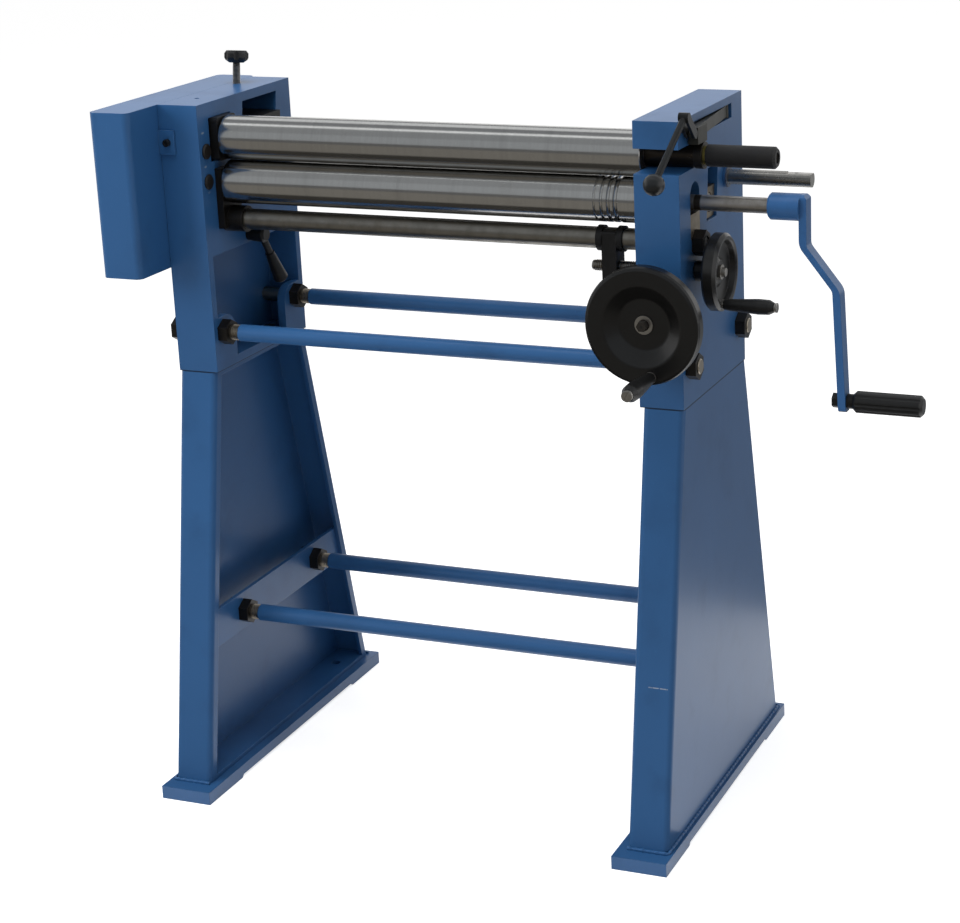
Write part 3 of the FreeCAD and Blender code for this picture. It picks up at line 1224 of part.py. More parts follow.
rear_form = turned("RearRollForm", "X", [
    ("-outer + 5", "0"),
    ("-outer + 5", "journal_r - 1"),
    ("-outer + 6", "journal_r"),
    ("-inner + end_play_left + rear_play", "journal_r"),
    ("-inner + end_play_left + rear_play", "roll_r - 1"),
    ("-inner + end_play_left + rear_play + 1", "roll_r"),
    ("inner - rear_play - 1", "roll_r"),
    ("inner - rear_play", "roll_r - 1"),
    ("inner - rear_play", "journal_r"),
    ("outer - 6", "journal_r"),
    ("outer - 5", "journal_r - 1"),
    ("outer - 5", "0"),
], "rear_y", "rear_z")


def wire_grooves(name, y, z):
    """Four ring tools of growing section for the wire grooves."""
    rings = []
    for index in range(4):
        ring = doc.addObject("Part::Torus", "%s%d" % (name, index + 1))
        ring.Placement = FreeCAD.Placement(V(), AXIS_TURN["X"])
        ring.setExpression("Radius1", bind("roll_r"))
        ring.setExpression("Radius2", bind("wire_r + %d * wire_step" % index))
        set_along(ring, "X", "wire_first + %d * wire_pitch" % index, y, z)
        rings.append(ring)
    return rings


node(cut("LowerRoll", lower_form, *wire_grooves("LowerWire", "roll_y", "lower_z")), "lower_roll")
node(cut("RearRoll", rear_form, *wire_grooves("RearWire", "rear_y", "rear_z")), "rear_roll")

node(cut(
    "RollCollar",
    rod("RollCollarRing", "X", "top_end", "top_end + end_collar_l", "roll_y", "upper_z", "end_collar_r"),
    rod("RollCollarBore", "X", "top_end", "top_end + end_collar_l", "roll_y", "upper_z", "spindle_r"),
), "roll_collar")
node(cut(
    "RollRing",
    rod("RollRingForm", "X", "top_end + end_collar_l", "top_end + end_collar_l + ring_l",
        "roll_y", "upper_z", "ring_r"),
    rod("RollRingBore", "X", "top_end + end_collar_l", "top_end + end_collar_l + ring_l",
        "roll_y", "upper_z", "spindle_r"),
), "roll_ring")
node(turned("RollGrip", "X", [
    ("top_end + end_collar_l + ring_l + gap", "spindle_r + fit"),
    ("top_end + end_collar_l + ring_l + gap", "top_grip_r - 1"),
    ("top_end + end_collar_l + ring_l + gap + 1", "top_grip_r"),
    ("top_end + end_collar_l + ring_l + top_grip_l - 3", "top_grip_r"),
    ("top_end + end_collar_l + ring_l + top_grip_l", "top_grip_r - 3"),
    ("top_end + end_collar_l + ring_l + top_grip_l", "spindle_r + fit"),
], "roll_y", "upper_z"), "roll_grip")

# ================================================================ gears and drive shaft
half_turn_pair = "(180 / pair_teeth)"
bias_angle = "(pair_bias / (axis_gap / 2) * 180 / pi)"
node(gear("UpperGear", "pair_inner", "pair_outer", "roll_y", "upper_z", "pair_module", "pair_teeth",
          "pair_tooth", "journal_r", "-90 - " + bias_angle), "upper_gear")
node(gear("LowerGear", "pair_inner", "pair_outer", "roll_y", "lower_z", "pair_module", "pair_teeth",
          "pair_tooth", "journal_r", "90 + " + half_turn_pair), "lower_gear")
train_bias_angle = "(train_bias / (train_module * wheel_teeth / 2) * 180 / pi)"
node(gear("ReductionGear", "train_inner", "train_outer", "roll_y", "lower_z", "train_module", "wheel_teeth",
          "train_tooth", "drive_r", "train_angle + %s + 180 / wheel_teeth" % train_bias_angle),
     "reduction_gear")
node(gear("DrivePinion", "train_inner", "train_outer", "drive_y", "drive_z", "train_module", "pinion_teeth",
          "train_tooth", "drive_r", "180 + train_angle"), "drive_pinion")
shaft_form = rod("DriveShaftForm", "X", "train_inner - 2", "outer + drive_out", "drive_y", "drive_z",
                 "drive_r")
node(cut(
    "DriveShaft", shaft_form,
    box("DriveFlat", "outer + drive_out - 34", "outer + drive_out + 1", "drive_y - drive_r - 1",
        "drive_y + drive_r + 1", "drive_z + drive_r - 2", "drive_z + drive_r + 1"),
), "drive_shaft")

# ================================================================ gear cover
cover_x0 = "(-outer - cover_x)"
cover_x1 = "(-outer - gap)"
cover_form = plate("CoverForm", "Z", "cover_bottom", "head_top", [
    (cover_x0, "-cover_front"),
    (cover_x1, "-cover_front"),
    (cover_x1, "cover_rear"),
    (cover_x0, "cover_rear"),
])
soften(cover_form, "cover_r", lambda edge: runs_along(edge, V(0, 0, 1)))
cover_inside = plate("CoverInside", "Z", "cover_bottom + cover_t", "head_top - cover_t", [
    (cover_x0 + " + cover_t", "-cover_front + cover_t"),
    (cover_x1 + " - cover_t", "-cover_front + cover_t"),
    (cover_x1 + " - cover_t", "cover_rear - cover_t"),
    (cover_x0 + " + cover_t", "cover_rear - cover_t"),
])
soften(cover_inside, "cover_r - cover_t", lambda edge: runs_along(edge, V(0, 0, 1)))
cover_mouth = box("CoverMouth", cover_x1 + " - cover_t - 1", cover_x1 + " + 1", "-head_front + web",
                  "head_rear - web", "cover_bottom + cover_t", "head_top - cover_t")
tab_front = box("TabFront", cover_x1 + " - cover_t", "-outer + tab_x", "-head_front - gap - cover_t",
                "-head_front - gap", "tab_up - tab_z", "tab_up")
tab_rear = box("TabRear", cover_x1 + " - cover_t", "-outer + tab_x", "head_rear + gap",
               "head_rear + gap + cover_t", "tab_up - tab_z", "tab_up")
tab_holes = rod("TabHoles", "Y", "-head_front - gap - cover_t", "head_rear + gap + cover_t",
                "-outer + tab_x / 2 + 1.5", "tab_up - tab_z / 2", "bolt_r / 2 + 0.5")
node(cut(
    "GearCover",
    join("CoverWhole", cut("CoverShell", cover_form, cover_inside, cover_mouth), tab_front, tab_rear),
    tab_holes,
), "gear_cover")
screws = []
for name, seat, tip in (
    ("Front", "-head_front - gap - cover_t - 4", "-head_front + web"),
    ("Rear", "head_rear - web", "head_rear + gap + cover_t + 4"),
):
    shank = rod("TabShank" + name, "Y", seat, tip, "-outer + tab_x / 2 + 1.5", "tab_up - tab_z / 2",
                "bolt_r / 2 + 0.5")
    top = seat if name == "Front" else tip + " - 4"
    cap = rod("TabCap" + name, "Y", top, top + " + 4", "-outer + tab_x / 2 + 1.5", "tab_up - tab_z / 2",
              "bolt_r")
    screws.append(join("TabScrew" + name, shank, cap))
node(group("CoverScrews", *screws), "cover_screws")

# ================================================================ crank
arm_high = "(lower_z - crank_bend_a)"
arm_low = "(lower_z - crank_bend_b)"
arm_far = "(arm_x + crank_offset)"
arm_top = "(lower_z + crank_hub_r - 0.5)"
arm_end = "(crank_z - bar_w / 2 - 2)"
arm = plate("CrankBar", "Y", "crank_y - bar_w / 2", "crank_y + bar_w / 2", [
    ("arm_x", arm_top),
    ("arm_x", arm_high),
    (arm_far, arm_low),
    ("grip_seat - bar_t", arm_end),
    ("grip_seat", arm_end),
    (arm_far + " + bar_t", arm_low),
    ("arm_x + bar_t", arm_high),
    ("arm_x + bar_t", arm_top + " - bar_t / 2"),
    ("arm_x + bar_t * 0.6", arm_top),
])
soften(arm, "bar_round", lambda edge: runs_along(edge, V(1, 0, 0)))


def bend(radius, *corners):
    """Round the crank bar at bends, given as (along the rolls, height)."""
    def wanted(edge):
        start = edge.Vertexes[0]
        return runs_along(edge, V(0, 1, 0)) and any(
            abs(start.X - number(x)) + abs(start.Z - number(z)) < 0.01 for x, z in corners)
    soften(arm, radius, wanted)


bend("crank_bend_r", ("arm_x + bar_t", arm_high), (arm_far, arm_low))
bend("crank_bend_r + bar_t", ("arm_x", arm_high), (arm_far + " + bar_t", arm_low))
node(cut(
    "CrankArm",
    join(
        "CrankForm",
        arm,
        turned("CrankHub", "X", [
            ("hub_x", "0"),
            ("hub_x", "crank_hub_r - 2.5"),
            ("hub_x + 2.5", "crank_hub_r"),
            ("arm_x + 1", "crank_hub_r"),
            ("arm_x + 1", "0"),
        ], "roll_y", "lower_z"),
    ),
    rod("CrankBore", "X", "hub_x", "hub_x + crank_hub_l - 3", "roll_y", "lower_z", "drive_r"),
    rod("CrankEye", "X", "grip_seat - bar_t - 3", "grip_seat + 3", "crank_y", "crank_z", "crank_pin_r"),
), "crank_arm")
pin_x = "grip_seat"
node(join(
    "CrankBolt",
    hexagon("CrankBoltHead", "X", "grip_seat - bar_t - 9.2", "grip_seat - bar_t - 1.2", "crank_y", "crank_z",
            "bolt_af + 1"),
    turned("CrankPin", "X", [
        ("grip_seat - bar_t - 2", "0"),
        ("grip_seat - bar_t - 2", "crank_pin_r"),
        (pin_x, "crank_pin_r"),
        (pin_x, "crank_pin_r + 3.5"),
        (pin_x + " + 7.5", "crank_pin_r + 3.5"),
        (pin_x + " + 7.5", "crank_pin_r"),
        (pin_x + " + 6 + crank_grip_l", "crank_pin_r"),
        (pin_x + " + 6 + crank_grip_l", "0"),
    ], "crank_y", "crank_z"),
), "crank_bolt")
grip = turned("CrankGripForm", "X", [
    (pin_x + " + 7.5 + gap", "crank_pin_r + fit"),
    (pin_x + " + 7.5 + gap", "crank_grip_r - 4"),
    (pin_x + " + 12", "crank_grip_r"),
    (pin_x + " + 4 + crank_grip_l", "crank_grip_r"),
    (pin_x + " + 8 + crank_grip_l", "crank_grip_r - 4"),
    (pin_x + " + 8 + crank_grip_l", "0"),
    (pin_x + " + 6 + gap + crank_grip_l", "0"),
    (pin_x + " + 6 + gap + crank_grip_l", "crank_pin_r + fit"),
], "0", "0")
flute_sketch = grip.newObject("Sketcher::SketchObject", "Flute")
flute_sketch.AttachmentSupport = [(plane_of(grip, "YZ_Plane"), "")]
flute_sketch.MapMode = "FlatFace"
flute_sketch.addGeometry(Part.Circle(V(number("crank_grip_r + 1.6"), 0, 0), V(0, 0, 1), 3), False)
flute_sketch.addConstraint(Sketcher.Constraint("PointOnObject", 0, 3, -1))
flute_place = flute_sketch.addConstraint(Sketcher.Constraint("DistanceX", -1, 1, 0, 3,
                                                             number("crank_grip_r + 1.6")))
flute_sketch.setExpression("Constraints[%d]" % flute_place, bind("crank_grip_r + 1.6"))
flute_size = flute_sketch.addConstraint(Sketcher.Constraint("Radius", 0, 2.8))
flute_sketch.setExpression("Constraints[%d]" % flute_size, bind("crank_grip_r * 0.2"))
flute_cut = grip.newObject("PartDesign::Pocket", "FluteCut")
flute_cut.Profile = (flute_sketch, [""])
flute_cut.Type = "ThroughAll"
flute_cut.SideType = "Symmetric"
doc.recompute()
flutes = grip.newObject("PartDesign::PolarPattern", "Flutes")
flutes.Originals = [flute_cut]
flutes.Axis = (plane_of(grip, "X_Axis"), [""])
flutes.Angle = 360
flutes.setExpression("Occurrences", bind("crank_flutes"))
grip.Tip = flutes
grip.setExpression("Placement.Base.y", bind("crank_y"))
grip.setExpression("Placement.Base.z", bind("crank_z"))
node(grip, "crank_grip")

# ================================================================ latch
node(rod("LatchHinge", "Z", "window_low - 8", "window_high + 6", "hinge_x", "hinge_y", "hinge_r"),
     "latch_hinge_pin")
bar_low = "((window_low + window_high - bar_h) / 2)"
bar_out = "(hook_in + bar_thick)"
latch = join(
    "LatchForm",
    plate("LatchBarForm", "Z", bar_low, bar_low + " + bar_h", [
        ("hinge_x - bar_thick / 2", "hinge_y"),
        ("hinge_x + bar_thick / 2", "hinge_y"),
        (bar_out, "hook_rear - 1"),
        ("hook_in", "hook_rear - 1"),
    ]),
    rod("LatchEye", "Z", "window_low + gap", "window_high - gap", "hinge_x", "hinge_y", "eye_r"),
    box("LatchHook", "hook_in", "hook_in + hook_x", "hook_front", "hook_rear",
        "upper_z + end_collar_r + gap", bar_low + " + bar_h"),
    box("LatchTongue", "hook_in + (hook_x - tongue_t) / 2", "hook_in + (hook_x + tongue_t) / 2", "lever_y",
        "hook_front + 1", "lever_z - 5", "lever_z + 5"),
    rod("LatchTongueEnd", "X", "hook_in + (hook_x - tongue_t) / 2", "hook_in + (hook_x + tongue_t) / 2",
        "lever_y", "lever_z", "5"),
    rod("LatchLeverPin", "X", "hook_in", "hook_in + hook_x", "lever_y", "lever_z", "2"),
)
node(cut(
    "LatchBar", latch,
    rod("LatchEyeBore", "Z", "window_low", "window_high", "hinge_x", "hinge_y", "hinge_r + fit"),
), "latch_bar")
fork = []
for name, x0, x1 in (
    ("Inner", "hook_in", "hook_in + fork_t"),
    ("Outer", "hook_in + hook_x - fork_t", "hook_in + hook_x"),
):
    fork.append(rod("ForkEye" + name, "X", x0, x1, "lever_y", "lever_z", "fork_w / 2 - 0.5"))
    fork.append(plate("Fork" + name, "X", x0, x1, [
        ("lever_y - fork_w * 0.36", "lever_z - fork_w * 0.33"),
        ("lever_y + fork_w * 0.36", "lever_z + fork_w * 0.33"),
        ("apex_y + fork_w * 0.36", "apex_z + fork_w * 0.2"),
        ("apex_y - fork_w * 0.36", "apex_z - fork_w * 0.46"),
    ]))
fork.append(rod("ForkHead", "X", "hook_in", "hook_in + hook_x", "apex_y", "apex_z", "fork_w / 2"))
reach = V(number("ball_x - hook_in - hook_x / 2"), number("ball_y - apex_y"), number("ball_z - apex_z"))
lever_rod = doc.addObject("Part::Cylinder", "LeverRod")
lever_rod.Placement = FreeCAD.Placement(V(), FreeCAD.Rotation(V(0, 0, 1), reach))
lever_rod.setExpression("Radius", bind("rod_r"))
lever_rod.setExpression("Height", bind(
    "sqrt((ball_x - hook_in - hook_x / 2) * (ball_x - hook_in - hook_x / 2)"
    " + (ball_y - apex_y) * (ball_y - apex_y) + (ball_z - apex_z) * (ball_z - apex_z))"))
lever_rod.setExpression("Placement.Base.x", bind("hook_in + hook_x / 2"))
lever_rod.setExpression("Placement.Base.y", bind("apex_y"))
lever_rod.setExpression("Placement.Base.z", bind("apex_z"))
ball_room = doc.addObject("Part::Sphere", "BallRoom")
ball_room.setExpression("Radius", bind("ball_r"))
ball_room.setExpression("Placement.Base.x", bind("ball_x"))
ball_room.setExpression("Placement.Base.y", bind("ball_y"))
ball_room.setExpression("Placement.Base.z", bind("ball_z"))
node(cut(
    "LatchLever", join("LatchLeverForm", lever_rod, *fork), ball_room,
    rod("ForkBore", "X", "hook_in", "hook_in + hook_x", "lever_y", "lever_z", "2 + fit"),
), "latch_lever")
ball = doc.addObject("Part::Sphere", "LatchBall")
ball.setExpression("Radius", bind("ball_r"))
ball.setExpression("Placement.Base.x", bind("ball_x"))
ball.setExpression("Placement.Base.y", bind("ball_y"))
ball.setExpression("Placement.Base.z", bind("ball_z"))
node(ball, "latch_ball")


# ================================================================ stands and feet
def front_edge(height, inset):
    return "(-stand_front - (stand_front_low - stand_front) * (head_bottom - (%s))" \
           " / (head_bottom - foot_h) + (%s))" % (height, inset)


def rear_edge(height, inset):
    return "(stand_rear + (stand_rear_low - stand_rear) * (head_bottom - (%s))" \
           " / (head_bottom - foot_h) - (%s))" % (height, inset)


def stand_section(name, x0, x1, z0, z1, inset):
    return plate(name, "X", x0, x1, [
        (front_edge(z0, inset), z0),
        (rear_edge(z0, inset), z0),
        (rear_edge(z1, inset), z1),
        (front_edge(z1, inset), z1),
    ])


def stand(side, x0, x1, hollow0, hollow1, open0, open1):
    """Folded stand: outer web, two flanges with lips, and top and bottom plates."""
    tools = [
        stand_section(side + "Hollow", hollow0, hollow1, "foot_h + stand_wall", "head_bottom - stand_wall",
                      "stand_wall"),
        stand_section(side + "Opening", open0, open1, "foot_h + stand_wall",
                      "head_bottom - stand_open_top", "lip"),
        rod(side + "AnchorFront", "Z", "foot_h", "foot_h + stand_wall", side_sign(side) + "anchor_x",
            "-anchor_y", "anchor_r"),
        rod(side + "AnchorRear", "Z", "foot_h", "foot_h + stand_wall", side_sign(side) + "anchor_x",
            "anchor_y", "anchor_r"),
    ]
    middle = "((%s + %s) / 2)" % (joint_mid(side)[0], joint_mid(side)[1])
    for place, y in (("Front", "-joint_bolt_y"), ("Rear", "joint_bolt_y")):
        tools.append(rod(side + "TopHole" + place, "Z", "head_bottom - stand_wall", "head_bottom", middle, y,
                         "bolt_r"))
    form = stand_section(side + "Outer", x0, x1, "foot_h", "head_bottom", "0")
    soften(form, "stand_r", lambda edge: abs(edge.Vertexes[0].Z - edge.Vertexes[1].Z) > 1)
    return cut(side + "Stand", form, *tools)


def side_sign(side):
    return "" if side == "Right" else "-"


def joint_mid(side):
    if side == "Right":
        return "inner", "(outer - web)"
    return "-inner", "(-outer + web)"


node(stand("Right", "stand_in", "outer", "stand_in + stand_wall", "outer - stand_wall",
           "stand_in - 1", "stand_in + stand_wall + 1"), "right_stand")
node(stand("Left", "-outer", "-stand_in", "-outer + stand_wall", "-stand_in - stand_wall",
           "-stand_in - stand_wall - 1", "-stand_in + 1"), "left_stand")


def foot(side, x0, x1):
    """Flat foot bar with a pad at each end."""
    return cut(
        side + "Foot",
        plate(side + "FootForm", "X", x0, x1, [
            ("-foot_front", "0"),
            ("-pad_front - 4", "0"),
            ("-pad_front", "pad_h"),
            ("pad_rear", "pad_h"),
            ("pad_rear + 4", "0"),
            ("foot_rear", "0"),
            ("foot_rear", "foot_h"),
            ("-foot_front", "foot_h"),
        ]),
        rod(side + "FootHoleFront", "Z", "0", "foot_h", side_sign(side) + "anchor_x", "-anchor_y",
            "anchor_r"),
        rod(side + "FootHoleRear", "Z", "0", "foot_h", side_sign(side) + "anchor_x", "anchor_y", "anchor_r"),
    )


node(foot("Right", "inner - foot_lap_in", "outer + foot_lap_out"), "right_foot")
node(foot("Left", "-outer - foot_lap_out", "-inner + foot_lap_in"), "left_foot")


def crossbar(side, x0, x1):
    """Flat bar welded behind the lips, that the lower tie rods pull on."""
    return cut(
        side + "Crossbar",
        stand_section(side + "CrossbarForm", x0, x1, "low_front_z - crossbar_h / 2",
                      "low_front_z + crossbar_h / 2", "stand_wall + crossbar_lap"),
        rod(side + "CrossbarFront", "X", x0, x1, "low_front_y", "low_front_z", "rod_neck_r"),
        rod(side + "CrossbarRear", "X", x0, x1, "low_rear_y", "low_rear_z", "rod_neck_r"),
    )


node(crossbar("Right", "crossbar_seat", "crossbar_back"), "right_crossbar")
node(crossbar("Left", "-crossbar_back", "-crossbar_seat"), "left_crossbar")

joint_bolts = []
for side in ("Right", "Left"):
    middle = "((%s + %s) / 2)" % joint_mid(side)
    for place, y in (("Front", "-joint_bolt_y"), ("Rear", "joint_bolt_y")):
        tag = side + place
        joint_bolts.append(join(
            "JointBolt" + tag,
            rod("JointShank" + tag, "Z", "head_bottom - stand_wall - bolt_h",
                "head_bottom + web + bolt_h / 2",
                middle, y, "bolt_r"),
            hexagon("JointHead" + tag, "Z", "head_bottom + web", "head_bottom + web + bolt_h", middle,
                    y, "bolt_af"),
            hexagon("JointNut" + tag, "Z", "head_bottom - stand_wall - bolt_h", "head_bottom - stand_wall",
                    middle, y, "bolt_af"),
        ))
node(group("HeadBolts", *joint_bolts), "head_bolts")


# ================================================================ tie rods
def tie_rod(name, end, y, z, seat):
    """Painted rod with bare necks that reach past the outer nuts."""
    body = "(%s - nut_h - rod_neck)" % seat
    return turned(name, "X", [
        ("-" + end, "0"),
        ("-%s" % end, "rod_neck_r - 1"),
        ("-%s + 1" % end, "rod_neck_r"),
        ("-" + body, "rod_neck_r"),
        ("-" + body, "rod_body_r - 1.5"),
        ("-%s + 1.5" % body, "rod_body_r"),
        ("%s - 1.5" % body, "rod_body_r"),
        (body, "rod_body_r - 1.5"),
        (body, "rod_neck_r"),
        ("%s - 1" % end, "rod_neck_r"),
        (end, "rod_neck_r - 1"),
        (end, "0"),
    ], y, z)


upper_end = "(outer + nut_h + 2)"
lower_end = "(crossbar_back + nut_h + 2)"
node(tie_rod("UpperFrontRod", upper_end, "rod_front_y", "rod_front_z", "inner"), "upper_front_tie_rod")
node(tie_rod("UpperRearRod", upper_end, "rod_rear_y", "rod_rear_z", "inner"), "upper_rear_tie_rod")
node(tie_rod("LowerFrontRod", lower_end, "low_front_y", "low_front_z", "crossbar_seat"),
     "lower_front_tie_rod")
node(tie_rod("LowerRearRod", lower_end, "low_rear_y", "low_rear_z", "crossbar_seat"), "lower_rear_tie_rod")


def nut(name, x0, x1, y, z):
    return cut(
        name,
        hexagon(name + "Hex", "X", x0, x1, y, z, "nut_af"),
        rod(name + "Bore", "X", x0, x1, y, z, "rod_neck_r"),
    )


nuts = []
for place, y, z, inside, outside in (
    ("UpperFront", "rod_front_y", "rod_front_z", "inner", "outer"),
    ("UpperRear", "rod_rear_y", "rod_rear_z", "inner", "outer"),
    ("LowerFront", "low_front_y", "low_front_z", "crossbar_seat", "crossbar_back"),
    ("LowerRear", "low_rear_y", "low_rear_z", "crossbar_seat", "crossbar_back"),
):
    nuts.append(nut("NutRI" + place, inside + " - nut_h", inside, y, z))
    nuts.append(nut("NutRO" + place, outside, outside + " + nut_h", y, z))
    nuts.append(nut("NutLI" + place, "-" + inside, "-%s + nut_h" % inside, y, z))
    nuts.append(nut("NutLO" + place, "-%s - nut_h" % outside, "-" + outside, y, z))
node(group("TieRodNuts", *nuts), "tie_rod_nuts")

# ================================================================ check and write
doc.recompute()
failed = [item.Name for item in doc.Objects if "Invalid" in item.State or "Error" in item.State]
if failed:
    raise RuntimeError("objects that failed: " + ", ".join(failed))
for item in nodes:
    if item.Shape.isNull() or not item.Shape.isValid():
        raise RuntimeError("no valid shape: " + item.Label)
    if not item.Shape.Solids:
        raise RuntimeError("no solid: " + item.Label)

os.makedirs("parts", exist_ok=True)
for item in nodes:
    item.Shape.exportStep("parts/%s.step" % item.Label)
print("%d nodes, %d solids" % (len(nodes), sum(len(item.Shape.Solids) for item in nodes)))
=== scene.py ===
"""Looks of the slip roll machine: finishes, small fittings, studio and camera."""
import math

import bmesh
import bpy
from mathutils import Matrix, Vector, noise


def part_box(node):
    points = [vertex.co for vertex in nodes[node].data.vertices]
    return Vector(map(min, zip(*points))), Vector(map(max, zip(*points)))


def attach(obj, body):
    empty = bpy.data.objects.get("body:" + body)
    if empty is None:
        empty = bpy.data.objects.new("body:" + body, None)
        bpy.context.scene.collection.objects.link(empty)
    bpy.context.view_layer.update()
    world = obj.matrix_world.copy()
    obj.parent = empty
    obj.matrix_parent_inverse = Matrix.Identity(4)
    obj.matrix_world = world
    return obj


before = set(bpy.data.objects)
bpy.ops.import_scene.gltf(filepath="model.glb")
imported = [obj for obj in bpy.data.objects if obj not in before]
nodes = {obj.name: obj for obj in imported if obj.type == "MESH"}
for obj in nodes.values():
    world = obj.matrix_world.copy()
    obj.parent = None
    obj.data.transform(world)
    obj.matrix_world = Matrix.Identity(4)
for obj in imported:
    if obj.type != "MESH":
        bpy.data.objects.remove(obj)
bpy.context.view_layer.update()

MM = 0.001


def middle(name):
    """Centre of a CAD node's box."""
    low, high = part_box(name)
    return (low + high) / 2


DRIVE_Y = middle("drive_shaft").y
BIG_X = middle("big_wheel").x
BIG_Z = middle("big_wheel").z
scene = bpy.context.scene


# ---------------------------------------------------------------- material building blocks
class Finish:
    """A principled material that is built up in layers, in the object's own metres."""

    def __init__(self, name, colour, metallic=0.0, roughness=0.4, **extra):
        self.material = bpy.data.materials.new(name)
        self.material.use_nodes = True
        self.tree = self.material.node_tree
        self.tree.nodes.clear()
        self.shader = self.add("ShaderNodeBsdfPrincipled")
        output = self.add("ShaderNodeOutputMaterial")
        self.link(self.shader.outputs[0], output.inputs[0])
        self.place = self.add("ShaderNodeTexCoord").outputs["Object"]
        self.colour = (*colour, 1.0)
        self.rough = roughness
        self.metal = metallic
        self.normal = None
        for socket, value in extra.items():
            self.shader.inputs[socket.replace("_", " ")].default_value = value

    def add(self, kind, **settings):
        item = self.tree.nodes.new(kind)
        for key, value in settings.items():
            setattr(item, key, value)
        return item

    def link(self, a, b):
        self.tree.links.new(a, b)

    def put(self, socket, value):
        """Connect a socket, or set its value."""
        if isinstance(value, bpy.types.NodeSocket):
            self.link(value, socket)
        elif isinstance(value, (tuple, list)) and len(value) == 3:
            socket.default_value = (*value, 1.0)
        else:
            socket.default_value = value

    def scaled(self, factors):
        mapping = self.add("ShaderNodeMapping")
        self.link(self.place, mapping.inputs["Vector"])
        mapping.inputs["Scale"].default_value = factors
        return mapping.outputs[0]

    def noise(self, scale, detail=3.0, rough=0.55, stretch=None):
        item = self.add("ShaderNodeTexNoise")
        self.link(self.scaled(stretch) if stretch else self.place, item.inputs["Vector"])
        item.inputs["Scale"].default_value = scale
        item.inputs["Detail"].default_value = detail
        item.inputs["Roughness"].default_value = rough
        return item.outputs["Fac"]

    def span(self, value, low, high, first=0.0, last=1.0):
        """Map a range smoothly to another, clamped."""
        item = self.add("ShaderNodeMapRange", interpolation_type="SMOOTHSTEP")
        self.link(value, item.inputs["Value"])
        ends = {"From Min": low, "From Max": high, "To Min": first, "To Max": last}
        for key, number in ends.items():
            item.inputs[key].default_value = number
        return item.outputs["Result"]

    def math(self, kind, a, b=0.0):
        item = self.add("ShaderNodeMath", operation=kind)
        self.put(item.inputs[0], a)
        self.put(item.inputs[1], b)
        return item.outputs[0]

    def mix(self, amount, first, second):
        item = self.add("ShaderNodeMix", data_type="RGBA")
        self.put(item.inputs[0], amount)
        self.put(item.inputs[6], first)
        self.put(item.inputs[7], second)
        return item.outputs[2]

    def axis(self, letter):
        if not hasattr(self, "parts"):
            self.parts = self.add("ShaderNodeSeparateXYZ")
            self.link(self.place, self.parts.inputs[0])
        return self.parts.outputs[letter]

    def layer(self, amount, colour=None, rough=None, metal=None):
        """Lay another finish over what is there."""
        if colour is not None:
            self.colour = self.mix(amount, self.colour, colour)
        if rough is not None:
            self.rough = self.blend(amount, self.rough, rough)
        if metal is not None:
            self.metal = self.blend(amount, self.metal, metal)

    def blend(self, amount, first, second):
        item = self.add("ShaderNodeMix", data_type="FLOAT")
        self.put(item.inputs[0], amount)
        self.put(item.inputs[2], first)
        self.put(item.inputs[3], second)
        return item.outputs[0]

    def round_edges(self, radius):
        item = self.add("ShaderNodeBevel", samples=6)
        item.inputs["Radius"].default_value = radius
        self.normal = item.outputs[0]

    def edge(self, radius):
        """1 along outer and inner edges, 0 on flats."""
        bevel = self.add("ShaderNodeBevel", samples=4)
        bevel.inputs["Radius"].default_value = radius
        flat = self.add("ShaderNodeNewGeometry")
        dot = self.add("ShaderNodeVectorMath", operation="DOT_PRODUCT")
        self.link(bevel.outputs[0], dot.inputs[0])
        self.link(flat.outputs["Normal"], dot.inputs[1])
        return self.span(dot.outputs["Value"], 0.99, 0.86)

    def crevice(self, reach):
        """1 deep in a corner, 0 in the open."""
        item = self.add("ShaderNodeAmbientOcclusion", samples=6)
        item.inputs["Distance"].default_value = reach
        return self.math("SUBTRACT", 1.0, item.outputs["AO"])

    def near(self, letter, place, full, none):
        """1 within a distance of a plane across an axis, fading to 0."""
        away = self.math("ABSOLUTE", self.math("SUBTRACT", self.axis(letter), place))
        return self.span(away, none, full)

    def spot(self, places, full, none):
        """1 near a point, fading to 0; places gives the axis letters and where along each."""
        squares = 0.0
        for letter, (place, stretch) in places.items():
            away = self.math("DIVIDE", self.math("SUBTRACT", self.axis(letter), place), stretch)
            squares = self.math("ADD", self.math("MULTIPLY", away, away), squares)
        return self.span(self.math("SQRT", squares), none, full)

    def bump(self, height, depth, strength):
        item = self.add("ShaderNodeBump")
        item.inputs["Strength"].default_value = strength
        item.inputs["Distance"].default_value = depth
        self.link(height, item.inputs["Height"])
        if self.normal is not None:
            self.link(self.normal, item.inputs["Normal"])
        self.normal = item.outputs[0]

    def done(self):
        self.put(self.shader.inputs["Base Color"], self.colour)
        self.put(self.shader.inputs["Roughness"], self.rough)
        self.put(self.shader.inputs["Metallic"], self.metal)
        if self.normal is not None:
            self.link(self.normal, self.shader.inputs["Normal"])
        return self.material


def vary(colour, factor):
    """The colour, lighter or darker."""
    return tuple(min(1.0, c * factor) for c in colour)


# ---------------------------------------------------------------- finishes
BLUE = (0.027, 0.104, 0.262)
CRANK_BLUE = (0.030, 0.116, 0.300)
SEAM_HEIGHT = 0.593  # where each head stands on its stand
SEAM_HALF = 0.0006
HATCH = 2600.0  # of the sleeve's cross-hatch, in radians a metre
ROLL_END = 0.3070  # past this the upper and lower rolls' right journals look different
JOURNAL_FADE = 0.0015
LEFT_HEAD_SKIN = -0.3106  # just behind the face that the left head turns to the rolls
STAND_FRONT = -0.10  # a stand's front wall lies ahead of this
ROD_NECK_RADIUS = 0.011
BARE_NECK = (0.33, 0.29, 0.235)


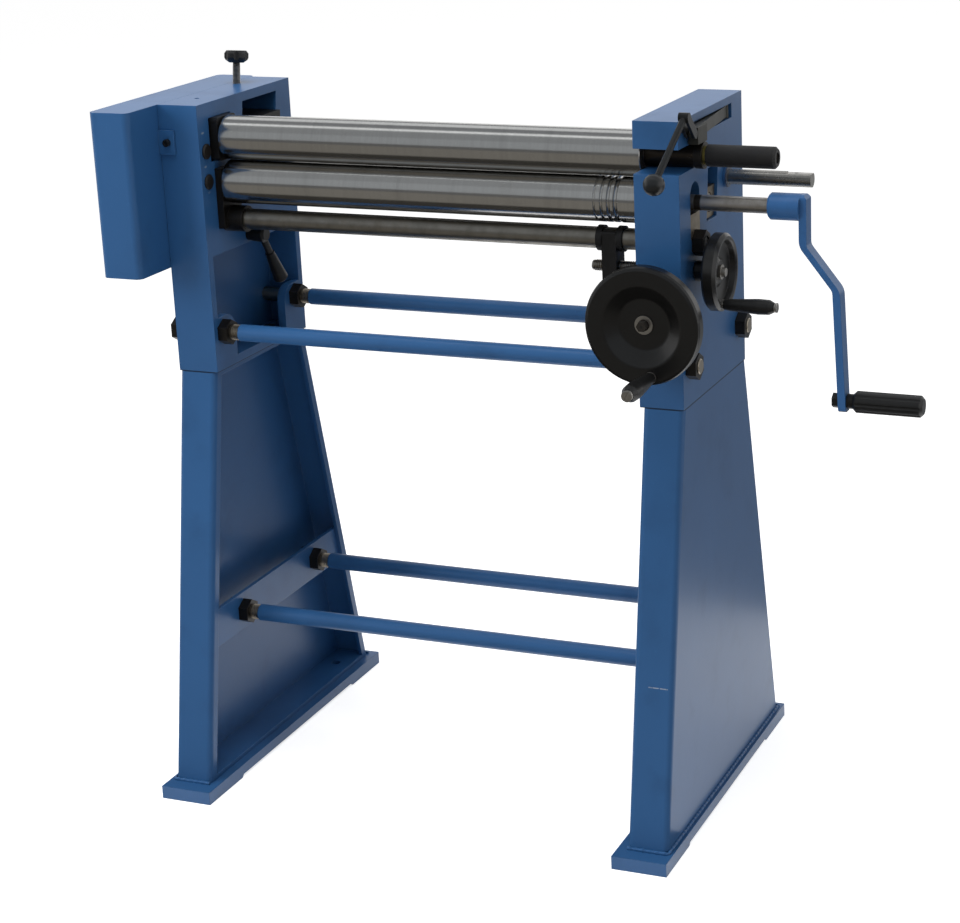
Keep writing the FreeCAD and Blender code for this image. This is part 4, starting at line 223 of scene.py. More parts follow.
def paint(name, colour=BLUE, bare=None):
    """Sprayed enamel: orange peel, cloudy tone, thin edges with a painted highlight, grime with
    painted shade in the corners, a dark seam under the heads.
    """
    f = Finish(name, colour, 0.0, 0.36, Coat_Weight=0.10, Coat_Roughness=0.2,
               Specular_IOR_Level=0.34)
    f.round_edges(0.0011)
    f.layer(f.span(f.noise(3.2, 3), 0.35, 0.7), vary(colour, 1.1))
    f.layer(f.span(f.noise(11, 4), 0.5, 0.75), vary(colour, 0.88), 0.38)
    f.layer(f.span(f.noise(260, 2), 0.62, 0.8, 0, 0.35), vary(colour, 1.35))
    edge = f.edge(0.0016)
    # Lighter blue along the edges, broken by noise: a painted highlight on the rounded edges,
    # where the paint is also thin.
    edge_highlight_on_thin_paint = f.math("MULTIPLY", edge, f.span(f.noise(42, 5, 0.7), 0.46, 0.66))
    f.layer(f.math("MULTIPLY", edge_highlight_on_thin_paint, 0.55), (0.11, 0.21, 0.38), 0.42)
    chips = f.math("MULTIPLY", edge, f.span(f.noise(95, 6, 0.75), 0.67, 0.71))
    f.layer(chips, (0.20, 0.20, 0.195), 0.5, 0.4)
    # Darker in the corners through an ambient-occlusion mask: painted shade, broken by noise into
    # grime.
    corner = f.span(f.crevice(0.012), 0.35, 0.95)
    grime_and_corner_shade = f.math("MULTIPLY", corner, f.span(f.noise(28, 5, 0.65), 0.3, 0.75))
    f.layer(f.math("MULTIPLY", grime_and_corner_shade, 0.55), (0.012, 0.018, 0.026), 0.6)
    seam = f.near("Z", SEAM_HEIGHT, SEAM_HALF, 2 * SEAM_HALF)
    f.layer(f.math("MULTIPLY", seam, 0.8), (0.006, 0.009, 0.013), 0.7)
    if bare:
        bare(f)
    f.bump(f.noise(520, 2, 0.5), 0.00009, 0.7)
    f.bump(f.noise(26, 2, 0.5), 0.0005, 0.35)
    return f.done()


def ground_steel(name, colour, roughness, dirt=0.25, extra=None):
    """Steel ground round the X axis: rings, faint scratches, oil film."""
    f = Finish(name, colour, 1.0, roughness)
    f.round_edges(0.0006)
    rings = f.noise(1.0, 3, 0.7, stretch=(2600, 6, 6))
    bands = f.noise(1.0, 4, 0.6, stretch=(46, 5, 5))
    f.layer(f.span(rings, 0.3, 0.7), vary(colour, 0.9), roughness + 0.07)
    f.layer(f.span(bands, 0.45, 0.8, 0, 0.7), vary(colour, 0.82), roughness + 0.03)
    film = f.span(f.noise(9, 5, 0.7), 0.5, 0.85, 0, dirt)
    f.layer(film, (0.13, 0.105, 0.075), roughness + 0.12, 0.8)
    scratch = f.noise(1.0, 2, 0.5, stretch=(30, 900, 900))
    f.layer(f.span(scratch, 0.70, 0.78, 0, 0.5), vary(colour, 1.18))
    if extra:
        extra(f)
    f.bump(rings, 0.00002, 0.5)
    return f.done()


def machined(name, colour, roughness, extra=None):
    """Turned or milled metal with a soft sheen, stains, and painted shade in the corners."""
    f = Finish(name, colour, 1.0, roughness)
    f.round_edges(0.0004)
    f.layer(f.span(f.noise(60, 4), 0.35, 0.75), vary(colour, 0.8), roughness + 0.1)
    stain = f.span(f.noise(17, 5, 0.7), 0.52, 0.8, 0, 0.5)
    f.layer(stain, (0.12, 0.09, 0.06), roughness + 0.2, 0.7)
    # Darker in the corners through an ambient-occlusion mask: painted shade.
    f.layer(f.span(f.crevice(0.004), 0.4, 1.0, 0, 0.7), (0.02, 0.017, 0.014), 0.6, 0.4)
    if extra:
        extra(f)
    f.bump(f.noise(1.0, 2, 0.6, stretch=(1500, 1500, 300)), 0.00002, 0.6)
    return f.done()


def blackened(name, colour, roughness, dust=0.3):
    """Black oxide or black paint on iron: uneven tone, rubbed edges, dust."""
    f = Finish(name, colour, 0.5, roughness)
    f.round_edges(0.0006)
    f.layer(f.span(f.noise(30, 4, 0.6), 0.35, 0.75), vary(colour, 1.7), roughness + 0.08)
    rub = f.math("MULTIPLY", f.edge(0.0009), f.span(f.noise(70, 5, 0.7), 0.4, 0.65))
    f.layer(f.math("MULTIPLY", rub, 0.5), (0.16, 0.15, 0.14), 0.35, 0.9)
    f.layer(f.span(f.noise(12, 5, 0.7), 0.55, 0.85, 0, dust), (0.05, 0.04, 0.032), 0.55, 0.2)
    f.bump(f.noise(420, 3, 0.6), 0.00006, 0.6)
    return f.done()


def moulded(name, colour, roughness, coat=0.0):
    """Moulded black plastic."""
    f = Finish(name, colour, 0.0, roughness, Coat_Weight=coat, Coat_Roughness=0.08)
    f.round_edges(0.0008)
    f.layer(f.span(f.noise(9, 4, 0.6), 0.4, 0.8), vary(colour, 1.5), roughness + 0.09)
    rub = f.math("MULTIPLY", f.edge(0.0011), f.span(f.noise(55, 5, 0.7), 0.45, 0.7))
    f.layer(f.math("MULTIPLY", rub, 0.35), (0.075, 0.075, 0.078), 0.3)
    f.layer(f.span(f.noise(33, 6, 0.75), 0.62, 0.82, 0, 0.25), (0.06, 0.055, 0.05), 0.6)
    f.bump(f.noise(700, 3, 0.6), 0.00004, 0.7)
    return f.done()


def hatched(name):
    """Matte black sleeve with a faint cross-hatch."""
    f = Finish(name, (0.0075, 0.0072, 0.0078), 0.0, 0.55)
    f.round_edges(0.0008)
    f.layer(f.span(f.noise(14, 5, 0.7), 0.45, 0.8, 0, 0.6), (0.020, 0.018, 0.016), 0.6)
    lines = []
    for lean in (1, -1):
        slope = f.math("ADD", f.axis("X"), f.math("MULTIPLY", f.axis("Z"), lean))
        lines.append(f.math("SINE", f.math("MULTIPLY", slope, HATCH)))
    hatch = f.math("MULTIPLY", lines[0], lines[1])
    f.layer(f.span(hatch, 0.2, 0.8, 0, 0.35), (0.022, 0.021, 0.022))
    f.bump(hatch, 0.00018, 0.6)
    f.bump(f.noise(900, 3, 0.6), 0.00006, 0.6)
    return f.done()


def rod_neck(axis_y, axis_z):
    """Bare steel where a tie rod is no thicker than its necks."""

    def lay(f):
        dy = f.math("SUBTRACT", f.axis("Y"), axis_y)
        dz = f.math("SUBTRACT", f.axis("Z"), axis_z)
        r2 = f.math("ADD", f.math("MULTIPLY", dy, dy), f.math("MULTIPLY", dz, dz))
        radius = f.math("SQRT", r2)
        edge = f.span(radius, ROD_NECK_RADIUS + 0.00005, ROD_NECK_RADIUS - 0.00005)
        f.layer(edge, BARE_NECK, 0.32, 1.0)

    return lay


def filler_marks(f):
    """Pale rubbed marks of filler beside and below the two plugs of the left head."""
    marks = ((-0.116, 0.9245, 0.75), (-0.115, 0.8785, 0.7), (-0.110, 0.8425, 0.35))
    for along, height, strength in marks:
        mark = f.spot({"Y": (along, 2.6), "Z": (height, 1.0)}, 0.0009, 0.0019)
        broken = f.span(f.noise(260, 5, 0.7), 0.38, 0.55)
        side = f.span(f.axis("X"), LEFT_HEAD_SKIN - 0.0006, LEFT_HEAD_SKIN)
        amount = f.math("MULTIPLY", f.math("MULTIPLY", mark, broken),
                        f.math("MULTIPLY", side, strength))
        f.layer(amount, (0.30, 0.38, 0.47), 0.55)


def long_scratch(f):
    """One pale scratch across the front of the right stand."""
    height, across = 0.2345, 0.349
    line = f.near("Z", height, 0.00035, 0.0009)
    wide = f.near("X", across, 0.0125, 0.0145)
    front = f.span(f.axis("Y"), STAND_FRONT, STAND_FRONT - 0.01)
    broken = f.span(f.noise(210, 4, 0.7), 0.36, 0.5)
    amount = f.math("MULTIPLY", f.math("MULTIPLY", line, wide), f.math("MULTIPLY", front, broken))
    f.layer(f.math("MULTIPLY", amount, 0.8), (0.42, 0.46, 0.52), 0.5)


def rubbed_ring(f):
    """Brown oil and rubbed paint where the drive shaft leaves its boss."""
    behind, at_face = 0.3722, 0.3742
    face = f.span(f.axis("X"), behind, at_face)
    worn = f.math("MULTIPLY", face, f.span(f.noise(120, 4, 0.7), 0.3, 0.6))
    f.layer(f.math("MULTIPLY", worn, 0.75), (0.10, 0.085, 0.06), 0.45, 0.3)


def dimple_shade(f):
    """Painted shade of a small dimple on the flat of the drive shaft: a dark spot, no hole."""
    along = 0.4665
    dimple_shade_mask = f.spot({"X": (along, 1.0), "Y": (DRIVE_Y, 1.0)}, 0.0018, 0.0025)
    # A dark matte spot stands in for the shade inside the dimple.
    f.layer(dimple_shade_mask, (0.008, 0.007, 0.006), 0.7, 0.0)


def dark_bolt(f):
    """The washer shines; the bolt head inside it is dark, with a black centre."""
    centre = {"X": (BIG_X, 1.0), "Z": (BIG_Z, 1.0)}
    f.layer(f.spot(centre, 0.0072, 0.0078), (0.045, 0.04, 0.035), 0.42, 0.7)
    f.layer(f.spot(centre, 0.0016, 0.0024), (0.01, 0.009, 0.008), 0.6, 0.2)


def dull_journal(f):
    """The lower roll's shaft past the right head is turned, not ground."""
    far = f.span(f.axis("X"), ROLL_END, ROLL_END + JOURNAL_FADE)
    f.layer(far, (0.50, 0.475, 0.45), 0.40, 1.0)
    brown = f.math("MULTIPLY", far, f.span(f.noise(45, 5, 0.7), 0.45, 0.75))
    f.layer(brown, (0.36, 0.33, 0.29), 0.46, 0.95)
    oil_ring = 0.3755
    f.layer(f.near("X", oil_ring, 0.0035, 0.0055), (0.05, 0.04, 0.03), 0.4, 0.8)


def oily_journal(f):
    """Dark oil film on the upper roll's journal, in and past the open slot."""
    far = f.span(f.axis("X"), ROLL_END, ROLL_END + JOURNAL_FADE)
    f.layer(far, (0.030, 0.023, 0.017), 0.34, 0.8)
    spots = f.span(f.noise(110, 4, 0.7), 0.62, 0.7, 0, 0.5)
    f.layer(f.math("MULTIPLY", far, spots), (0.17, 0.14, 0.10), 0.35, 0.9)


finish = {
    "blue": paint("blue_enamel"),
    "left_blue": paint("left_head_enamel", BLUE, filler_marks),
    "stand_blue": paint("right_stand_enamel", BLUE, long_scratch),
    "boss_blue": paint("boss_enamel", BLUE, rubbed_ring),
    "crank_blue": paint("crank_enamel", CRANK_BLUE),
    "roll": ground_steel("ground_roll_steel", (0.56, 0.555, 0.54), 0.13, extra=dull_journal),
    "upper": ground_steel("upper_roll_steel", (0.54, 0.535, 0.52), 0.13, extra=oily_journal),
    # The rear roll's steel is a darker copy of the other rolls' steel: painted shade for the dark
    # it lies in behind them, with more oil on it as well.
    "rear": ground_steel("rear_roll_shaded_steel", (0.42, 0.405, 0.38), 0.2, dirt=0.5),
    "steel": machined("machined_steel", (0.40, 0.385, 0.36), 0.3),
    "shaft": machined("drive_shaft_steel", (0.40, 0.385, 0.36), 0.26, extra=dimple_shade),
    "washer": machined("washer_steel", (0.42, 0.405, 0.38), 0.28, extra=dark_bolt),
    "dull": machined("oiled_steel", (0.17, 0.15, 0.118), 0.36),
    "plate": machined("guide_plate_steel", (0.25, 0.215, 0.165), 0.4),
    "cross": machined("cross_shaft_steel", (0.30, 0.285, 0.255), 0.34),
    "screw": machined("threaded_steel", (0.27, 0.235, 0.185), 0.36),
    "zinced": machined("star_stud_zinc", (0.44, 0.43, 0.40), 0.32),
    "black": blackened("black_oxide", (0.012, 0.012, 0.0125), 0.4),
    "olive": blackened("latch_oxide", (0.021, 0.021, 0.017), 0.42, dust=0.35),
    "lever": blackened("lever_black", (0.010, 0.011, 0.012), 0.28, dust=0.2),
    "dirty": blackened("oily_black", (0.012, 0.0105, 0.009), 0.38, dust=0.5),
    "wheel": moulded("wheel_black", (0.0028, 0.0028, 0.0029), 0.33, coat=0.08),
    "side_wheel": moulded("side_wheel_black", (0.009, 0.009, 0.0092), 0.3, coat=0.1),
    "ball": moulded("ball_black", (0.006, 0.007, 0.008), 0.34, coat=0.1),
    "plug": moulded("plug_black", (0.009, 0.007, 0.006), 0.5),
    "grip": moulded("grip_black", (0.006, 0.006, 0.0062), 0.38),
    "rubber": hatched("rubber_black"),
    "brass": machined("brass", (0.40, 0.34, 0.11), 0.34),
}

dress = {
    "blue": ["right_head", "left_stand", "right_foot", "left_foot", "right_crossbar",
             "left_crossbar", "gear_cover"],
    "left_blue": ["left_head"],
    "stand_blue": ["right_stand"],
    "boss_blue": ["drive_boss"],
    "crank_blue": ["crank_arm"],
    "upper": ["upper_roll"],
    "roll": ["lower_roll"],
    "rear": ["rear_roll"],
    "shaft": ["drive_shaft"],
    "washer": ["big_wheel_bolt"],
    "steel": ["small_wheel_screw", "big_grip_pin", "small_grip_pin", "upper_gear",
              "lower_gear", "reduction_gear", "drive_pinion", "big_wheel_screw",
              "swivel_pins", "latch_hinge_pin"],
    "dull": ["left_lower_block", "rear_wedge"],
    "cross": ["cross_shaft"],
    "plate": ["right_guide_plate", "right_lower_block", "right_rear_slide"],
    "black": ["head_bolts", "shaft_nut_bar", "shaft_collars", "swivel_block",
              "left_rear_slide", "clamp_lever", "crank_bolt", "cover_screws"],
    "olive": ["latch_bar"],
    "lever": ["latch_lever"],
    "dirty": ["tie_rod_nuts", "left_guide_plate", "shaft_end_bush", "roll_collar"],
    "wheel": ["big_wheel"],
    "side_wheel": ["small_wheel"],
    "ball": ["latch_ball"],
    "plug": ["cap_plugs"],
    "grip": ["small_wheel_grip", "big_wheel_grip", "crank_grip", "star_knob"],
    "rubber": ["roll_grip"],
    "brass": ["roll_ring"],
}


def wear(item, material):
    item.data.materials.clear()
    item.data.materials.append(material)


for key, names in dress.items():
    for name in names:
        wear(nodes[name], finish[key])
for name in ("upper_front", "upper_rear", "lower_front", "lower_rear"):
    centre = middle(name + "_tie_rod")
    enamel = paint(name + "_rod_enamel", BLUE, rod_neck(centre.y, centre.z))
    wear(nodes[name + "_tie_rod"], enamel)


# ---------------------------------------------------------------- small fittings
# sizes and places of the fittings are in mm; their points are scaled to metres one by one
UP = Vector((0, 0, 1))
SUNK = 0.2  # how deep the base of a screw head lies in what carries it
THREAD_STEPS = 20  # rings in one turn of a thread
THREAD_FADE = 8  # rings over which a thread rises and dies out
THREAD_ROOT = 0.25  # how deep a thread reaches into its neck
THREAD_CLEAR = 0.02  # how far its two ends stay above the neck
THREAD_DEPTH = 0.34  # this and the next two are shares of the pitch
THREAD_FOOT_HALF = 0.42
THREAD_CREST_HALF = 0.08
BEAD_STEP = 0.7  # distance between the rings of a weld bead
BEAD_ARC = 8  # edges across the rounded face of a bead
BEAD_ROOT = 0.6  # how deep a bead reaches into the two faces
BEAD_LEG, BEAD_BULGE = 0.80, 0.16  # shares of a bead's size
BEAD_WOBBLES = ((0.06, 0.22), (0.35, 0.12))  # scale of the noise and its share of the size
RIPPLE_HEIGHT, RIPPLE_LENGTH = 0.10, 2.3  # shares of a bead's size
LATHE_EDGES = 40  # edges round a turned form
HALF_ARC = 24  # edges round half a slotted head
SLOT_HALF = 0.13  # half the width of a driver slot, as a share of the radius
SOCKET_EDGES = 60  # edges round a socket-head screw
NECK_THREAD = (10.0, 2.5)  # radius and pitch
WHEEL_THREAD = (6.5, 2.5)
STAR_THREAD = (5.0, 1.75)
FOOT_WELD = 4.2
BAR_WELD = 3.4
CORNER = 1.0  # how much of a stand's corner a foot weld cuts off


def make(name, bm, material, body, angle=32):
    """Piece from a mesh in the machine's own frame, smooth below an angle, riding on a body."""
    mesh = bpy.data.meshes.new(name)
    bmesh.ops.recalc_face_normals(bm, faces=bm.faces)
    for face in bm.faces:
        face.smooth = True
    bm.to_mesh(mesh)
    bm.free()
    mesh.set_sharp_from_angle(angle=math.radians(angle))
    item = bpy.data.objects.new(name, mesh)
    scene.collection.objects.link(item)
    item.data.materials.append(material)
    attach(item, body)


def axes_of(along):
    """Two directions square to a line, and the line's own."""
    forth = Vector(along).normalized()
    side = forth.orthogonal().normalized()
    return side, forth.cross(side), forth


def skin(bm, rings):
    """Join a run of rings of points, all of one count, and fill both ends."""
    loops = [[bm.verts.new(point) for point in ring] for ring in rings]
    count = len(loops[0])
    for one, two in zip(loops, loops[1:]):
        for i in range(count):
            j = (i + 1) % count
            bm.faces.new((one[i], one[j], two[j], two[i]))
    bm.faces.new(reversed(loops[0]))
    bm.faces.new(loops[-1])


def thread(name, start, along, length, size, material, body):
    """Ridge of a screw thread wound round a bare neck; size is the neck's radius and the pitch."""
    radius, pitch = size
    depth = THREAD_DEPTH * pitch
    side, cross, forth = axes_of(along)
    start = Vector(start)
    turns = (length - pitch) / pitch
    total = int(THREAD_STEPS * turns)
    bm = bmesh.new()
    rings = []
    for step in range(total + 1):
        angle = math.tau * step / THREAD_STEPS
        fade = min(1.0, step / THREAD_FADE, (total - step) / THREAD_FADE)
        out = side * math.cos(angle) + cross * math.sin(angle)
        centre = start + forth * (pitch / 2 + pitch * step / THREAD_STEPS)
        foot = radius - THREAD_ROOT
        crest = radius + THREAD_CLEAR + depth * fade
        ring = []
        for reach, shift in ((foot, -THREAD_FOOT_HALF), (crest, -THREAD_CREST_HALF),
                             (crest, THREAD_CREST_HALF), (foot, THREAD_FOOT_HALF)):
            ring.append((centre + out * reach + forth * (shift * pitch)) * MM)
        rings.append(ring)
    skin(bm, rings)
    make(name, bm, material, body, 24)


def bead(name, path, size):
    """Painted, rippled fillet weld in the corner between two faces.

    The path gives points on the corner, each with the directions out of the two faces.
    """
    bm = bmesh.new()
    rings = []
    phase = 0.0
    for index in range(len(path) - 1):
        point, outward, upward = path[index]
        after, outward_after, _ = path[index + 1]
        count = max(2, int((after - point).length / BEAD_STEP))
        last = index == len(path) - 2
        for step in range(count + (1 if last else 0)):
            share = step / count
            place = point.lerp(after, share)
            normal = outward.lerp(outward_after, share).normalized()
            wobble = sum(noise.noise(place * scale) * part for scale, part in BEAD_WOBBLES)
            ripple = RIPPLE_HEIGHT * math.sin(phase)
            phase += BEAD_STEP * math.tau / (RIPPLE_LENGTH * size)
            reach = size * (1.0 + wobble + ripple)
            ring = []
            for turn in range(BEAD_ARC + 1):
                angle = math.pi * 0.5 * turn / BEAD_ARC
                swell = reach * (BEAD_LEG + BEAD_BULGE * math.sin(2 * angle))
                ring.append((place + normal * swell * math.cos(angle)
                             + upward * swell * math.sin(angle)) * MM)
            ring.append((place - normal * BEAD_ROOT - upward * BEAD_ROOT) * MM)
            rings.append(ring)
    skin(bm, rings)
    make(name, bm, finish["blue"], "frame", 50)


def lathe(bm, centre, along, profile):
    """Turned form from (radius, height) pairs, from the base to the top."""
    side, cross, forth = axes_of(along)
    rings = []
    for radius, height in profile:
        ring = []
        for i in range(LATHE_EDGES):
            angle = math.tau * i / LATHE_EDGES
            out = side * math.cos(angle) + cross * math.sin(angle)
            ring.append((Vector(centre) + out * radius + forth * height) * MM)
        rings.append(ring)
    skin(bm, rings)


def slotted_head(name, centre, along, radius, tall, turn, body):
    """Low round head with a straight driver slot, turned by some degrees, between two halves."""
    side, cross, forth = axes_of(along)
    angle = math.radians(turn)
    way = side * math.cos(angle) + cross * math.sin(angle)
    over = forth.cross(way)
    half = radius * SLOT_HALF
    bm = bmesh.new()
    base = ((radius, -SUNK), (radius, tall * 0.45), (radius - 0.25, tall * 0.5))
    lathe(bm, centre, along, base)
    for sign in (1, -1):
        rings = []
        for reach, height in ((radius, tall * 0.3), (radius, tall * 0.75),
                              (radius * 0.94, tall * 0.93), (radius * 0.84, tall)):
            edge = math.asin(half / reach)
            ring = []
            for i in range(HALF_ARC + 1):
                a = edge + (math.pi - 2 * edge) * i / HALF_ARC
                ring.append((Vector(centre) + way * reach * math.cos(a)
                             + over * sign * reach * math.sin(a) + forth * height) * MM)
            rings.append(ring)
        skin(bm, rings)
    make(name, bm, finish["steel"], body)


def socket_ring(name, centre, along, radius, tall):
    """Rim of a black socket-head screw: a round band and a chamfered mouth with six flats."""
    side, cross, forth = axes_of(along)
    bm = bmesh.new()
    rings = []
    for reach, height, kind in ((radius, -SUNK, "round"), (radius, tall * 0.8, "round"),
                                (radius * 0.9, tall, "round"), (radius * 0.60, tall, "hex"),
                                (radius * 0.55, tall * 0.85, "hex"),
                                (radius * 0.55, tall * 0.2, "hex")):
        ring = []
        for i in range(SOCKET_EDGES):
            a = math.tau * i / SOCKET_EDGES
            if kind == "hex":
                part = (a % (math.pi / 3)) - math.pi / 6
                size = reach / math.cos(part)
            else:
                size = reach
            out = side * math.cos(a) + cross * math.sin(a)
            ring.append((Vector(centre) + out * size + forth * height) * MM)
        rings.append(ring)
    skin(bm, rings)
    make(name, bm, finish["black"], "frame")


# threads on the bare necks of the tie rods, just inside the heads and the stands
NECKS = (("upper_front", 283.0, 296.0), ("upper_rear", 283.0, 296.0),
         ("lower_front", 293.0, 306.0), ("lower_rear", 293.0, 306.0))
for name, near_end, far_end in NECKS:
    centre = middle(name + "_tie_rod") / MM
    for sign, word in ((1, "right"), (-1, "left")):
        start = (sign * near_end, centre.y, centre.z)
        thread(name + "_thread_" + word, start, (sign, 0, 0), far_end - near_end, NECK_THREAD,
               finish["screw"], "frame")

# threads of the small hand wheel's screw and of the star knob's leaning stud
thread("wheel_screw_thread", (230.5, -69.0, 763.0), (1, 0, 0), 66.0, WHEEL_THREAD,
       finish["screw"], "lower_wheel")
LEAN = Vector((0, 0.1392, 0.9903))
thread("star_stud_thread", (-358.0, 62.9, 958.8), LEAN, 31.0, STAR_THREAD,
       finish["zinced"], "star_knob")

# welds round the feet of the stands
for side, word in ((1, "right"), (-1, "left")):
    low, high = (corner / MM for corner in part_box(word + "_stand"))
    outer = high.x if side > 0 else low.x
    inner = low.x if side > 0 else high.x
    out = Vector((side, 0, 0))
    front, rear = Vector((0, -1, 0)), Vector((0, 1, 0))
    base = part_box(word + "_foot")[1].z / MM
    short = outer - side * CORNER
    corners = ((inner, low.y, front), (short, low.y, front), (outer, low.y + CORNER, out),
               (outer, high.y - CORNER, out), (short, high.y, rear), (inner, high.y, rear))
    path = [(Vector((x, y, base)), normal, UP) for x, y, normal in corners]
    bead(word + "_foot_weld", path, FOOT_WELD)

# welds where the ends of the crossbars meet the leaning walls of the stands
for side, word in ((1, "right"), (-1, "left")):
    points = [vertex.co / MM for vertex in nodes[word + "_crossbar"].data.vertices]
    inner = min(abs(point.x) for point in points) * side
    low, high = (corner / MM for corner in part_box(word + "_crossbar"))
    for sign, end in ((-1, "front"), (1, "rear")):
        corners = [max((p.y * sign for p in points if abs(p.z - level) < 1.0)) * sign
                   for level in (low.z, high.z)]
        away = Vector((0, -sign, 0))
        inward = Vector((-side, 0, 0))
        path = [(Vector((inner, y, z)), inward, away) for y, z in zip(corners, (low.z, high.z))]
        bead(word + "_crossbar_weld_" + end, path, BAR_WELD)

# slotted ends of the two grip pins and the socket screws of the gear cover
centre = middle("small_grip_pin") / MM
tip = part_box("small_grip_pin")[1].x / MM
slotted_head("small_grip_slot", (tip, centre.y, centre.z), (1, 0, 0),
             radius=6.4, tall=1.5, turn=35, body="lower_wheel")
centre = middle("big_grip_pin") / MM
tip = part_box("big_grip_pin")[0].y / MM
slotted_head("big_grip_slot", (centre.x, tip, centre.z), (0, -1, 0),
             radius=7.2, tall=1.6, turn=20, body="rear_wheel")
low, high = (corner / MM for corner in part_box("cover_screws"))
centre = (low + high) / 2
for sign, face, word in ((-1, low.y, "front"), (1, high.y, "rear")):
    socket_ring("cover_socket_" + word, (centre.x, face, centre.z), (0, sign, 0),
                radius=5.0, tall=1.4)


# ---------------------------------------------------------------- studio
ARCH_CENTRE = Vector((0.0, 0.0, 0.80))
ARCH_RADIUS = 3.4
ARCH_HALF = 5.0
CARD_FLOOR = 0.02  # no card reaches lower than this
WORLD_FILL = 0.29
FLOOR_SHADE = 0.86
FLOOR_GLOW = 0.74
FLOOR_HALF = 9
FLOOR_DROP = 0.0002  # keeps the floor just clear of the feet
# size, place, aim and power of each lamp
LAMPS = {
    "overhead": ((2.4, 1.6), (-0.3, -0.4, 3.2), (0, 0, 0.6), 56),
    "front_left": ((1.4, 1.8), (-2.4, -2.6, 1.9), (0, 0, 0.7), 49),
    "right_side": ((1.2, 1.8), (2.9, -0.6, 1.7), (0.2, 0, 0.6), 6),
}
# bands of the room as reflections see it, from and to an angle in degrees that runs from the
# front over the top to the rear, each with its colour
ARCH = (
    (-78, -46, (0.050, 0.047, 0.042)),
    (-46, -6, (0.235, 0.222, 0.200)),
    (-6, 7, (0.150, 0.150, 0.150)),
    (7, 40, (0.400, 0.420, 0.440)),
    (40, 74, (0.330, 0.345, 0.360)),
    (74, 86, (1.150, 1.180, 1.200)),
    (86, 112, (0.270, 0.280, 0.295)),
    (112, 136, (0.900, 0.920, 0.940)),
    (136, 152, (0.330, 0.340, 0.350)),
    (186, 232, (0.300, 0.310, 0.320)),
)


def card(name, low, high, colour):
    """Long glowing card between two angles of the arch, which only reflections see."""
    mesh = bpy.data.meshes.new(name)
    bm = bmesh.new()
    corners = []
    for angle, side in ((low, -1), (low, 1), (high, 1), (high, -1)):
        turn = math.radians(angle)
        away = Vector((0, -math.cos(turn), math.sin(turn))) * ARCH_RADIUS
        point = ARCH_CENTRE + away + Vector((side * ARCH_HALF, 0, 0))
        if point.z < CARD_FLOOR:
            away *= (ARCH_CENTRE.z - CARD_FLOOR) / -away.z
            point = ARCH_CENTRE + away + Vector((side * ARCH_HALF, 0, 0))
        corners.append(bm.verts.new(point))
    bm.faces.new(corners)
    bm.to_mesh(mesh)
    bm.free()
    item = bpy.data.objects.new(name, mesh)
    scene.collection.objects.link(item)
    plain = bpy.data.materials.new(name)
    plain.use_nodes = True
    tree = plain.node_tree
    tree.nodes.clear()
    glow = tree.nodes.new("ShaderNodeEmission")
    glow.inputs["Color"].default_value = (*colour, 1.0)
    out = tree.nodes.new("ShaderNodeOutputMaterial")
    tree.links.new(glow.outputs[0], out.inputs[0])
    item.data.materials.append(plain)
    item.visible_camera = False
    item.visible_diffuse = False
    item.visible_shadow = False
    item.visible_transmission = False


for number, (low, high, colour) in enumerate(ARCH):
    card("arch_%d" % number, low, high, colour)


def lamp(name, size, place, aim, power):
    """Area lamp that reflections don't see."""
    data = bpy.data.lights.new(name, "AREA")
    data.shape = "RECTANGLE"
    data.size, data.size_y = size
    data.energy = power
    item = bpy.data.objects.new(name, data)
    scene.collection.objects.link(item)
    item.location = place
    item.rotation_euler = (Vector(aim) - Vector(place)).to_track_quat("-Z", "Y").to_euler()
    item.visible_glossy = False


def seen_directly(tree):
    """1 for camera, glossy and transmission rays."""
    path = tree.nodes.new("ShaderNodeLightPath")
    one = tree.nodes.new("ShaderNodeMath")
    two = tree.nodes.new("ShaderNodeMath")
    one.operation = two.operation = "MAXIMUM"
    tree.links.new(path.outputs["Is Camera Ray"], one.inputs[0])
    tree.links.new(path.outputs["Is Glossy Ray"], one.inputs[1])
    tree.links.new(one.outputs[0], two.inputs[0])
    tree.links.new(path.outputs["Is Transmission Ray"], two.inputs[1])
    return two.outputs[0]


# white where it is seen directly, and a dimmer fill for all other light
world = bpy.data.worlds.new("studio")
scene.world = world
world.use_nodes = True
tree = world.node_tree
tree.nodes.clear()
fill = tree.nodes.new("ShaderNodeBackground")
fill.inputs["Color"].default_value = (1, 1, 1, 1)
fill.inputs["Strength"].default_value = WORLD_FILL
white = tree.nodes.new("ShaderNodeBackground")
white.inputs["Color"].default_value = (1, 1, 1, 1)
white.inputs["Strength"].default_value = 1.0
either = tree.nodes.new("ShaderNodeMixShader")
out = tree.nodes.new("ShaderNodeOutputWorld")
tree.links.new(seen_directly(tree), either.inputs[0])
tree.links.new(fill.outputs[0], either.inputs[1])
tree.links.new(white.outputs[0], either.inputs[2])
tree.links.new(either.outputs[0], out.inputs[0])

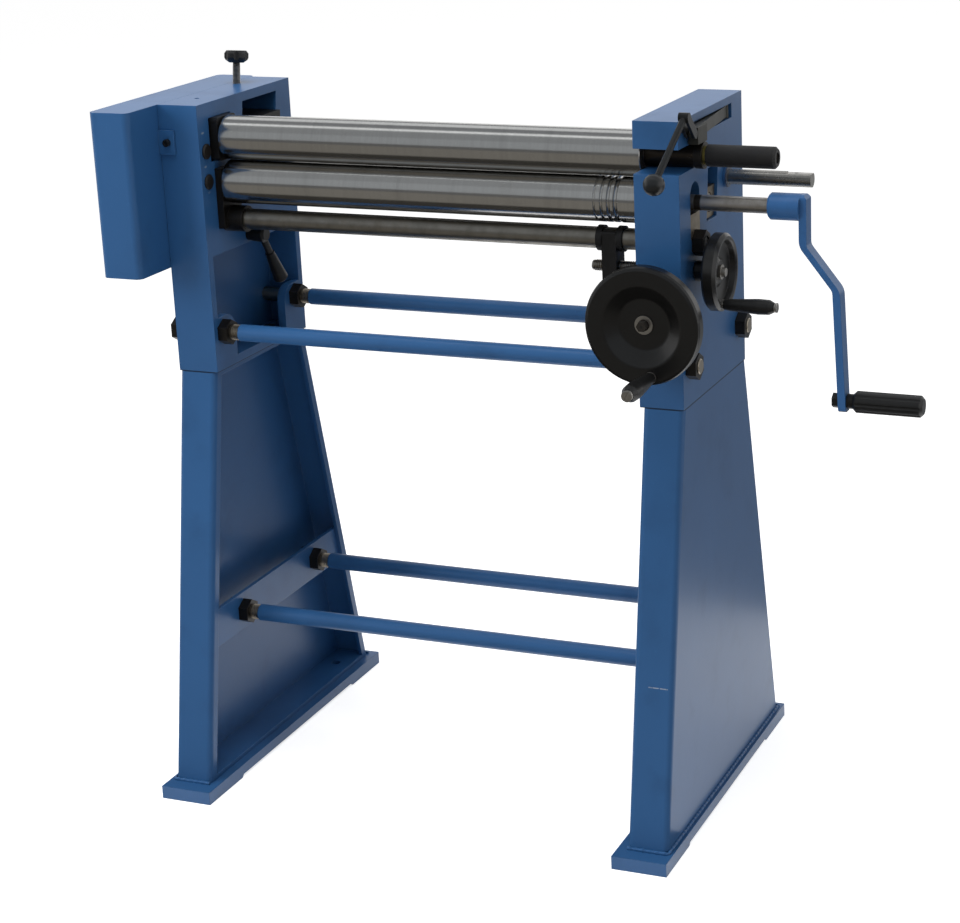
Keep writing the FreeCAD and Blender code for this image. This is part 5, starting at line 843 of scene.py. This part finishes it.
for name, (size, place, aim, power) in LAMPS.items():
    lamp(name, size, place, aim, power)


def floor():
    """Pale floor with a glow that only the camera, glossy and transmission rays see."""
    mesh = bpy.data.meshes.new("floor")
    bm = bmesh.new()
    bmesh.ops.create_grid(bm, x_segments=1, y_segments=1, size=FLOOR_HALF)
    bm.to_mesh(mesh)
    bm.free()
    item = bpy.data.objects.new("floor", mesh)
    scene.collection.objects.link(item)
    item.location.z = -FLOOR_DROP
    plain = bpy.data.materials.new("studio_floor")
    plain.use_nodes = True
    tree = plain.node_tree
    tree.nodes.clear()
    base = tree.nodes.new("ShaderNodeBsdfDiffuse")
    base.inputs["Color"].default_value = (FLOOR_SHADE, FLOOR_SHADE, FLOOR_SHADE, 1)
    glow = tree.nodes.new("ShaderNodeEmission")
    glow.inputs["Strength"].default_value = FLOOR_GLOW
    both = tree.nodes.new("ShaderNodeAddShader")
    choose = tree.nodes.new("ShaderNodeMixShader")
    out = tree.nodes.new("ShaderNodeOutputMaterial")
    tree.links.new(base.outputs[0], both.inputs[0])
    tree.links.new(glow.outputs[0], both.inputs[1])
    tree.links.new(seen_directly(tree), choose.inputs[0])
    tree.links.new(base.outputs[0], choose.inputs[1])
    tree.links.new(both.outputs[0], choose.inputs[2])
    tree.links.new(choose.outputs[0], out.inputs[0])
    item.data.materials.append(plain)


floor()

# ---------------------------------------------------------------- camera
scene.view_settings.view_transform = "Standard"
camera_data = bpy.data.cameras.new("camera")
camera_data.sensor_width = 36
camera_data.lens = 85.12
camera_data.shift_x = -0.13254
camera_data.shift_y = -0.07066
camera_data.clip_end = 60
camera = bpy.data.objects.new("camera", camera_data)
scene.collection.objects.link(camera)
right = Vector((0.93262, 0.35955, -0.03077))
up = Vector((-0.07398, 0.27396, 0.95889))
forward = Vector((-0.35320, 0.89200, -0.28210))
place = (1.2967, -2.7308, 1.4314)
turn = Matrix((right, up, -forward)).transposed()
camera.matrix_world = Matrix.Translation(place) @ turn.to_4x4()
scene.camera = camera
